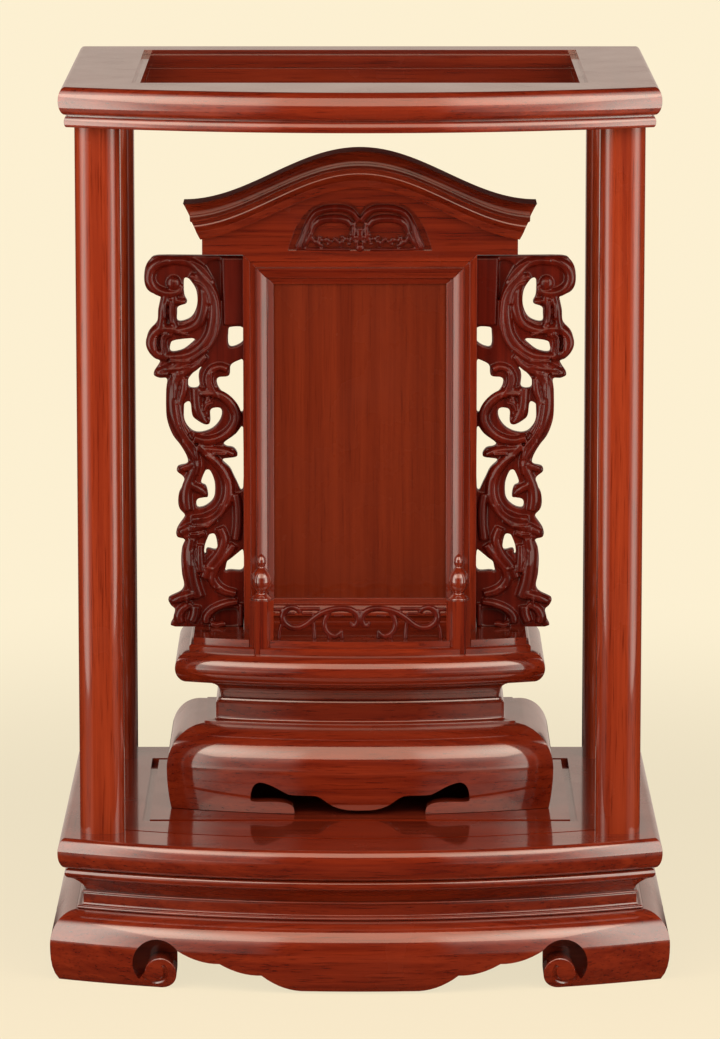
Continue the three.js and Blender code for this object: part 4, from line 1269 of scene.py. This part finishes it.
def carved(name, parts, grit, foot=None):
    """Joins the parts into one skin of small faces, and softens it as a carver's scraper does."""
    deselect()
    for part in parts:
        part.select_set(True)
    bpy.context.view_layer.objects.active = parts[0]
    bpy.ops.object.join()
    piece = bpy.context.object
    piece.name = name
    skin = piece.modifiers.new("skin", "REMESH")
    skin.mode = "VOXEL"
    skin.voxel_size = grit * MM
    bpy.ops.object.modifier_apply(modifier="skin")
    scraper = piece.modifiers.new("scraper", "SMOOTH")
    scraper.factor = 0.5
    scraper.iterations = 3
    bpy.ops.object.modifier_apply(modifier="scraper")
    if foot is not None:
        bpy.ops.object.mode_set(mode="EDIT")
        bpy.ops.mesh.select_all(action="SELECT")
        bpy.ops.mesh.bisect(
            plane_co=(0, 0, foot * MM), plane_no=(0, 0, 1), use_fill=True, clear_inner=True
        )
        bpy.ops.object.mode_set(mode="OBJECT")
    return piece


def mirrored_copy(piece, name):
    """The same carving for the other side."""
    twin = copied(piece, name)
    edit(
        twin,
        (bpy.ops.transform.resize, {"value": (-1, 1, 1), "center_override": (0, 0, 0)}),
        (bpy.ops.mesh.normals_make_consistent, {"inside": False}),
    )
    return twin


print("fine lines swell every", SWELL_LENGTH, "mm")

# %% [markdown]
# The wings are openwork: scrolls that spring from one another down the side of the tablet. A thin board
# with the drawn outline and its openings holds everything together, thick stems lie on it, and fine raised
# lines run along the stems.

# %% Drawing of the left wing
WING_DEPTH = 13
WING_EDGE = [
    (243.5, 256), (195, 256), (158, 256), (150, 260), (145, 268), (144, 280), (146, 288), (151, 293),
    (160, 296), (160, 300), (158, 310), (157, 322), (150, 330), (147, 336), (146, 345), (149, 353),
    (155, 359), (160, 361), (158, 366), (154, 372), (154, 376), (160, 378.5), (167, 379), (166, 390),
    (166, 412), (168, 424), (173, 436), (180, 445), (186, 455), (188, 462), (186, 465), (178, 467),
    (177, 472), (184, 478), (183, 486), (179, 493), (178, 503), (180, 510), (185, 516), (180, 524),
    (177, 529), (176, 534), (178, 538), (185, 540), (182, 548), (181, 560), (182, 575), (184, 585),
    (181, 592), (171, 597), (168, 600), (171, 606), (175, 610), (173, 620), (176, 627.5), (243.5, 627.5),
]
WING_OPENINGS = [
    [(189, 279), (196, 290), (197, 305), (191, 318), (178, 322), (177, 313), (178, 307), (187, 303),
     (184, 295), (184, 279)],
    [(171, 342), (178, 340), (195, 339), (189, 346), (181, 351), (170, 352)],
    [(211, 357), (199, 372), (199, 387), (189, 388), (189, 378), (203, 364)],
    [(184, 404), (190, 402), (192, 415), (196, 420), (205, 425), (210, 423), (210, 412), (213, 408.5),
     (221, 409), (221, 418), (215, 427), (206, 432), (196, 433), (189, 429), (184, 420)],
    [(206, 470), (210, 471), (214, 480), (215, 490), (213, 500), (205, 507), (197, 508), (197, 500),
     (204, 498), (208, 497), (206, 487), (201, 484), (203, 476)],
    [(209, 535), (215, 535), (217, 550), (207, 549), (206, 554), (204, 554), (205, 545)],
    [(228.5, 327.5), (243, 328), (243, 342), (229, 347)],
    [(243, 359), (231, 365), (229, 376), (218, 378), (217, 385), (222, 393), (233, 401), (243, 412)],
    [(243, 424), (236, 434), (224, 443), (226, 447), (234, 449), (237, 457), (222, 460), (230, 469),
     (236, 481), (243, 489)],
    [(243, 549), (231, 559), (227, 562), (225, 570), (219, 577), (228, 571), (243, 570)],
]
WING_STEMS = [
    [(213, 284, 3.2), (204, 272, 4), (193, 264, 4.5), (178, 260.5, 4.5), (163, 262, 5), (152, 269, 5.5),
     (149.5, 280, 5.5), (155, 289, 5), (166, 293.5, 4.5), (178, 292, 3.5), (182, 285, 2.5)],
    [(198, 272, 4), (209, 285, 5.5), (214, 300, 6), (214, 318, 6), (210, 335, 5.5), (200, 348, 5),
     (186, 355.5, 4.5), (170, 357, 4)],
    [(190, 276, 3), (199, 281, 3.6), (204, 292, 5), (204, 308, 5.5), (199, 322, 5), (188, 329, 4.5),
     (176, 331, 4)],
    [(186, 333, 3.5), (172, 329.5, 4), (160, 330, 4.8), (152, 337, 5), (151, 346, 5), (157, 354, 4.6),
     (168, 357.5, 4)],
    [(172, 334, 2.5), (165, 337, 3), (163, 345, 3.2), (165, 353, 2.8)],
    [(166, 296, 4), (163, 308, 4.2), (162, 320, 4.2), (160, 330, 4)],
    [(175, 297, 3), (172, 306, 3), (172, 318, 3), (175, 327, 3)],
    [(172, 301, 3), (180, 301.5, 3), (186, 302, 2.2)],
    [(205, 349, 4), (192, 358, 5), (176, 366, 5.2), (164, 371, 5), (157, 374, 3.2)],
    [(206, 356, 2.5), (196, 366, 4), (184, 372, 4.5), (172, 376, 3.2)],
    [(186, 370, 4), (176, 380, 5.5), (173, 394, 6), (173.5, 410, 6), (177, 424, 5.6), (184, 437, 5),
     (192, 450, 4.8), (196, 463, 4.6), (194, 474, 4.6)],
    [(185, 378, 3.4), (184, 390, 4), (181, 400, 3), (180, 410, 2.5), (183, 422, 2.5), (189, 433, 3)],
    [(227, 369.5, 4), (220, 367, 3.6), (212, 370, 4), (208, 378, 4.4), (210, 388, 4.2), (216, 396, 4)],
    [(200, 393, 4), (213, 392.5, 4.5), (225, 398, 5), (234, 408, 5.2), (236.5, 419, 5.2), (231, 430, 5),
     (220, 438, 4.6), (206, 441, 4.4), (194, 438, 4)],
    [(196, 388, 5), (196.5, 400, 5), (198, 410, 5.4), (202, 418, 4.2), (207, 423, 2.4)],
    [(209, 398, 3.5), (206, 406, 3.2), (206, 416, 2.6)],
    [(200, 449, 3.5), (212, 450, 3.6), (225, 451.5, 3.4), (234, 455, 2.4)],
    [(198, 445, 4), (207, 454, 4.5), (217, 463, 5), (225, 474, 5.4), (228.5, 488, 6), (226, 502, 6),
     (217, 513, 5.2), (204, 519, 4.6), (192, 520, 4)],
    [(196, 466, 4.4), (191, 477, 5), (187, 488, 5.6), (186, 500, 5.8), (188, 511, 5)],
    [(197, 462, 3.5), (188, 467, 3.8), (180, 469, 2.6)],
    [(188, 484, 4), (197, 488, 4), (203, 492, 3.4), (206, 495, 2.4)],
    [(236, 494, 4), (238, 508, 4.5), (238, 525, 4.5), (236, 540, 4.5)],
    [(215, 519, 4), (204, 525, 4.6), (190, 529, 5.2), (180, 533, 3.6)],
    [(205, 533, 3), (194, 536, 3.4), (184, 537, 2.4)],
    [(192, 538, 4.5), (190, 552, 6.6), (191, 568, 7), (194, 584, 7), (199, 598, 6.5)],
    [(220, 528, 4.5), (224, 540, 5), (219, 554, 5), (210, 566, 5.5), (204, 578, 5)],
    [(234, 545, 4), (226, 556, 4), (216, 568, 4), (213, 580, 5), (222, 590, 5), (236, 594, 4)],
    [(200, 545, 3), (200, 558, 4), (201, 572, 4)],
    [(196, 594, 4.6), (184, 597, 4.4), (176, 600, 3.6), (171.5, 601.5, 2.2)],
    [(192, 604, 3), (183, 609, 4.5), (179, 616, 5), (181, 623, 4)],
    [(196, 606, 5), (195, 615, 5), (192, 622, 4.5)],
    [(238, 602, 3), (226, 604, 3.6), (214, 609, 4), (207, 616, 4.2), (206, 623, 4)],
    [(211, 624, 3), (217, 625.5, 3.2), (222, 624, 3), (226, 624.5, 2.2)],
    [(241, 604, 2.2), (241, 614, 2.2), (241, 626, 2.2)],
]
WING_LINES = [
    [(170, 260.5, 1.6), (185, 260.5, 1.6), (194, 267, 1.7), (204, 278, 1.8), (212, 287, 1.8),
     (217, 299, 1.9), (218.5, 314, 1.9), (217, 332, 1.8), (211, 345, 1.7), (203, 352, 1.6),
     (193, 359, 1.4)],
    [(190, 260, 1.2), (200, 265, 1.5), (207, 272, 1.5), (212, 279, 1.2)],
    [(194, 282, 1.3), (202, 286, 1.5), (207, 294, 1.5), (209, 304, 1.3)],
    [(171, 300, 1.3), (170.5, 311, 1.5), (171, 323, 1.3)],
    [(165, 304, 1.2), (165, 318, 1.2)],
    [(167, 333, 1.4), (162.5, 337, 1.6), (162, 345, 1.7), (163, 354, 1.4)],
    [(156, 337, 1.2), (155.5, 344, 1.4), (156, 351, 1.2)],
    [(178, 332, 1.1), (190, 335, 1.2)],
    [(170, 361, 1.2), (190, 361, 1.2)],
    [(166, 369, 1.1), (176, 369, 1.3), (190, 366, 1.1)],
    [(161, 374, 1.1), (168, 374, 1.2)],
    [(176, 375, 1.1), (184, 373, 1.2)],
    [(211, 372, 1.4), (211, 382, 1.4), (214, 390, 1.4), (219, 398, 1.2)],
    [(201, 394, 1.3), (216, 394, 1.3)],
    [(213, 402, 1.3), (207, 405, 1.5), (204, 411, 1.3)],
    [(173.5, 382, 1.3), (174, 398, 1.4)],
    [(177, 404, 1.4), (178.5, 416, 1.4), (182, 428, 1.5), (188, 438, 1.6), (195, 447, 1.6),
     (197, 459, 1.4)],
    [(183, 441, 1.3), (188, 449, 1.5), (193, 457, 1.5), (196, 466, 1.3)],
    [(213, 453.5, 1.2), (226, 454, 1.2)],
    [(206, 455, 1.3), (215, 461, 1.5), (222, 469, 1.5), (227, 478, 1.3)],
    [(221, 503, 1.3), (217, 511, 1.5), (208, 517, 1.5), (198, 518, 1.3)],
    [(226, 505, 1.3), (222, 513, 1.5), (215, 520, 1.6), (207, 527, 1.4)],
    [(190, 524, 1.2), (190, 531, 1.2)],
    [(195, 526, 1.4), (208, 526, 1.4)],
    [(190, 534, 1.2), (198, 534, 1.2)],
    [(191, 550, 1.3), (191, 566, 1.3)],
    [(205, 567, 1.1), (213, 569, 1.2)],
    [(214, 587, 1.1), (220, 588, 1.2)],
    [(187, 597, 1.3), (187, 603, 1.3)],
]
WING_HOLLOWS = [
    [(214, 622), (213, 616), (219, 611), (228, 609), (238, 610), (239, 622), (237, 627.5), (216, 627.5)],
    [(204, 266), (211, 261), (221, 262), (222, 280), (222, 300), (218, 302), (215, 288), (209, 274)],
]
WING_STRIP = [(222, 258), (243.5, 258), (243.5, 325), (224, 325)]
WING_EYE = (173.5, 283, 7)
print("the wing is drawn with", len(WING_STEMS), "stems and", len(WING_LINES), "fine lines")

# %% [markdown]
# The drawing is cut and built up as one left wing, and the right wing is its mirror image. The skin is made
# of small faces, and the foot is cut level, because the wing stands on the plinth.

# %% Wings
WING_FACE, WING_BACK = 14.5, 22
CARVING_FOOT = 220.35
SWELL = 0.07
WING_GRIT, FINE_GRIT = 0.68, 0.45
board = prism("wing", board_outline(WING_EDGE, WING_DEPTH, 3), WING_FACE, WING_BACK, "Y")
for hole in WING_OPENINGS:
    combine(board, prism("hole", board_outline(hole, WING_DEPTH), 10, 25, "Y"), "DIFFERENCE")
for hollow in WING_HOLLOWS:
    combine(board, prism("hollow", board_outline(hollow, WING_DEPTH), 12, 19, "Y"), "DIFFERENCE")
strip = prism("strip", board_outline(WING_STRIP, WING_DEPTH, 1), 12.6, 17, "Y")
stems = stem_curves("stems", WING_STEMS, WING_DEPTH, 13.4)
lines = stem_curves("lines", WING_LINES, WING_DEPTH, 10.9, SWELL)
eye = domes("eye", [WING_EYE], WING_DEPTH, 12.6)
wing_left = carved("wing", [board, strip, stems, lines] + eye, WING_GRIT, foot=CARVING_FOOT)
wing_right = mirrored_copy(wing_left, "wing")
# The wings take the darker red, which is painted shade.
for wing, word in ((wing_left, "left"), (wing_right, "right")):
    complete(wing, "wing_" + word, "tablet", carved_lacquer, bevel=0, sharp=60)
print("a wing has", len(wing_left.data.polygons), "faces")

# %% [markdown]
# Under the cornice two scrolls turn towards each other in a hollow of the board. The hollow is cut into
# the board first, and the scrolls lie in it without standing far out.

# %% Carving on the tympanum
HOLLOW_FLOOR = 7.5
CARVING_BACK = 0.0074
HOLLOW_EDGE = [
    (288, 250.5), (291, 240), (296, 227), (303, 216), (311, 208), (322, 202.5), (335, 200.5), (348, 202),
    (355, 206), (359.9, 211),
]
half = board_outline(HOLLOW_EDGE, TYMPANUM_FACE, 1)
hollow = half + [(-x, z) for x, z in half[::-1]]
combine(tympanum, prism("hollow", hollow, 0, HOLLOW_FLOOR, "Y"), "DIFFERENCE")
TYMPANUM_STEMS = [
    [(297, 247, 2.4), (302, 238, 3), (307, 226, 3.5), (313, 215.5, 3.8), (322, 210, 4), (334, 208, 4),
     (346, 209, 4), (354, 214, 3.5), (359, 222, 3)],
    [(312, 232, 3), (315, 224.5, 4), (324, 219.5, 4.4), (336, 218.5, 4.6), (346, 220.5, 4.4),
     (351, 226, 3.4)],
    [(303, 247, 2), (308, 240, 2.8), (311, 233, 3)],
    [(311, 237, 2.4), (316, 242.5, 2.6), (323, 246, 2)],
    [(320, 236, 2.4), (318, 243, 2.2)],
    [(334, 238, 2), (338, 242, 2.2), (342, 246, 2)],
    [(354, 222, 2), (353.5, 232, 2.6), (351, 241, 2.4)],
    [(358.5, 228, 2.6), (359.5, 235, 2.6), (357, 241, 2.4)],
    [(296, 248.5, 1.8), (320, 249.5, 1.8), (350, 249.5, 2)],
]
TYMPANUM_LINES = [
    [(300, 248, 1), (305, 236, 1.2), (309, 222, 1.3), (314, 214, 1.3), (320, 210.5, 1.3), (334, 208, 1.3),
     (346, 209, 1.3), (354, 213, 1.2), (360, 220, 1)],
    [(318, 219.5, 1), (330, 218, 1.2), (342, 219, 1)],
]
BOSSES = [
    (327, 239.5, 2.8), (331, 241.5, 2.4), (328.5, 244, 2.2), (323, 240, 2.2), (342, 236.5, 2.2),
    (342, 241.5, 2.4), (346.5, 238.5, 2.4), (349, 243.5, 2.3), (311, 234, 2.4), (316, 241.5, 2.2),
    (351, 234.5, 2.2), (356, 237, 2.2), (356, 242, 2.2), (359.5, 247.5, 4),
]
stems = stem_curves("stems", TYMPANUM_STEMS, TYMPANUM_FACE, 5.2)
lines = stem_curves("lines", TYMPANUM_LINES, TYMPANUM_FACE, 2.9, SWELL)
half_carving = carved("carving", [stems, lines] + domes("boss", BOSSES, TYMPANUM_FACE, 4), FINE_GRIT)
take(half_carving)
bpy.ops.object.mode_set(mode="EDIT")
bpy.ops.mesh.select_all(action="SELECT")
bpy.ops.mesh.bisect(plane_co=(0, CARVING_BACK, 0), plane_no=(0, 1, 0), use_fill=True, clear_outer=True)
bpy.ops.object.mode_set(mode="OBJECT")
other_half = mirrored_copy(half_carving, "carving")
tympanum_carving = carved("carving", [half_carving, other_half], FINE_GRIT)
complete(tympanum, "tympanum", "tablet", lacquer["across"], bevel=0.4)
# The tympanum carving takes the darker red, which is painted shade.
complete(tympanum_carving, "tympanum_carving", "tablet", carved_lacquer, bevel=0, sharp=60)
print("tympanum carving has", len(tympanum_carving.data.polygons), "faces")

# %% [markdown]
# The little railing between the short posts is openwork too: on each side one long scroll that rolls up
# at both ends, held by a small pillar.

# %% Railing scrolls
RAILING_STEMS = [
    [(300, 613, 2.4), (297, 608.8, 2.8), (291, 607.4, 3.2), (285.5, 610, 3.4), (282.5, 616, 3.6),
     (284.5, 622.5, 3.6), (291, 627, 3.6), (299, 627.5, 3.6), (306, 624.5, 3.4), (313, 619, 3.2),
     (321, 613.5, 3.2), (330, 610, 3.2), (340, 608.5, 3.2), (350, 609.5, 3.4), (356.5, 614, 3.6),
     (358, 620, 3.4), (355.5, 625, 3), (352, 625.5, 2.2), (350.5, 621.5, 1.8)],
    [(273, 609.5, 2.2), (279, 609.5, 2.2), (285, 609.5, 2.4)],
    [(299, 609, 2), (310, 608.8, 2.2), (320, 609, 2)],
    [(302, 613.5, 1.5), (313, 613.5, 1.5)],
    [(286, 613.5, 1.5), (295, 613.5, 1.5)],
    [(330, 613, 2.4), (326, 618, 2.8), (324.5, 624, 3), (326, 630, 3), (330, 634.5, 2.8), (335, 636, 2.4)],
    [(333, 637.5, 2.4), (339, 634.5, 2.6), (342.5, 630.5, 2)],
    [(341.5, 632, 2), (342, 639, 2.2)],
    [(313, 620, 2.2), (314, 629, 2.2), (314.5, 640, 2.4)],
    [(283, 621, 2.4), (280, 630, 2), (279, 640, 2)],
    [(334, 616, 1.4), (344, 615.5, 1.4)],
    [(328, 634, 2.2), (330, 640, 2.2)],
    [(357, 612, 2.6), (360, 611, 2.4)],
]
stems = stem_curves("stems", RAILING_STEMS, RAIL_Y, RAIL_Y)
half_rail = carved("rail", [stems], FINE_GRIT, foot=CARVING_FOOT)
other_half = mirrored_copy(half_rail, "rail")
railing = carved("rail", [half_rail, other_half], FINE_GRIT, foot=CARVING_FOOT)
# The railing takes the darker red, which is painted shade.
complete(railing, "railing_panel_front", "tablet", carved_lacquer, bevel=0, sharp=60)
print("railing has", len(railing.data.polygons), "faces")

# %% [markdown]
# Floor panel, face panel, backboard and glue blocks are plain boards, and the packed model has their real
# shape already. They keep it and get their wood.

# %% Finishes of the carried-over boards
plain_boards = {
    "floor_panel": lacquer["across"],
    "tablet_face_panel": panel_lacquer,
    "tablet_backboard": lacquer["upright"],
}
for corner in ("front_left", "front_right", "rear_left", "rear_right"):
    plain_boards["corner_block_" + corner] = sawn_wood
for name, paint in plain_boards.items():
    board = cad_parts[name]
    board.data.materials.clear()
    board.data.materials.append(paint)
print(len(plain_boards), "boards carried over")

# %% Nothing selected at the end
deselect()
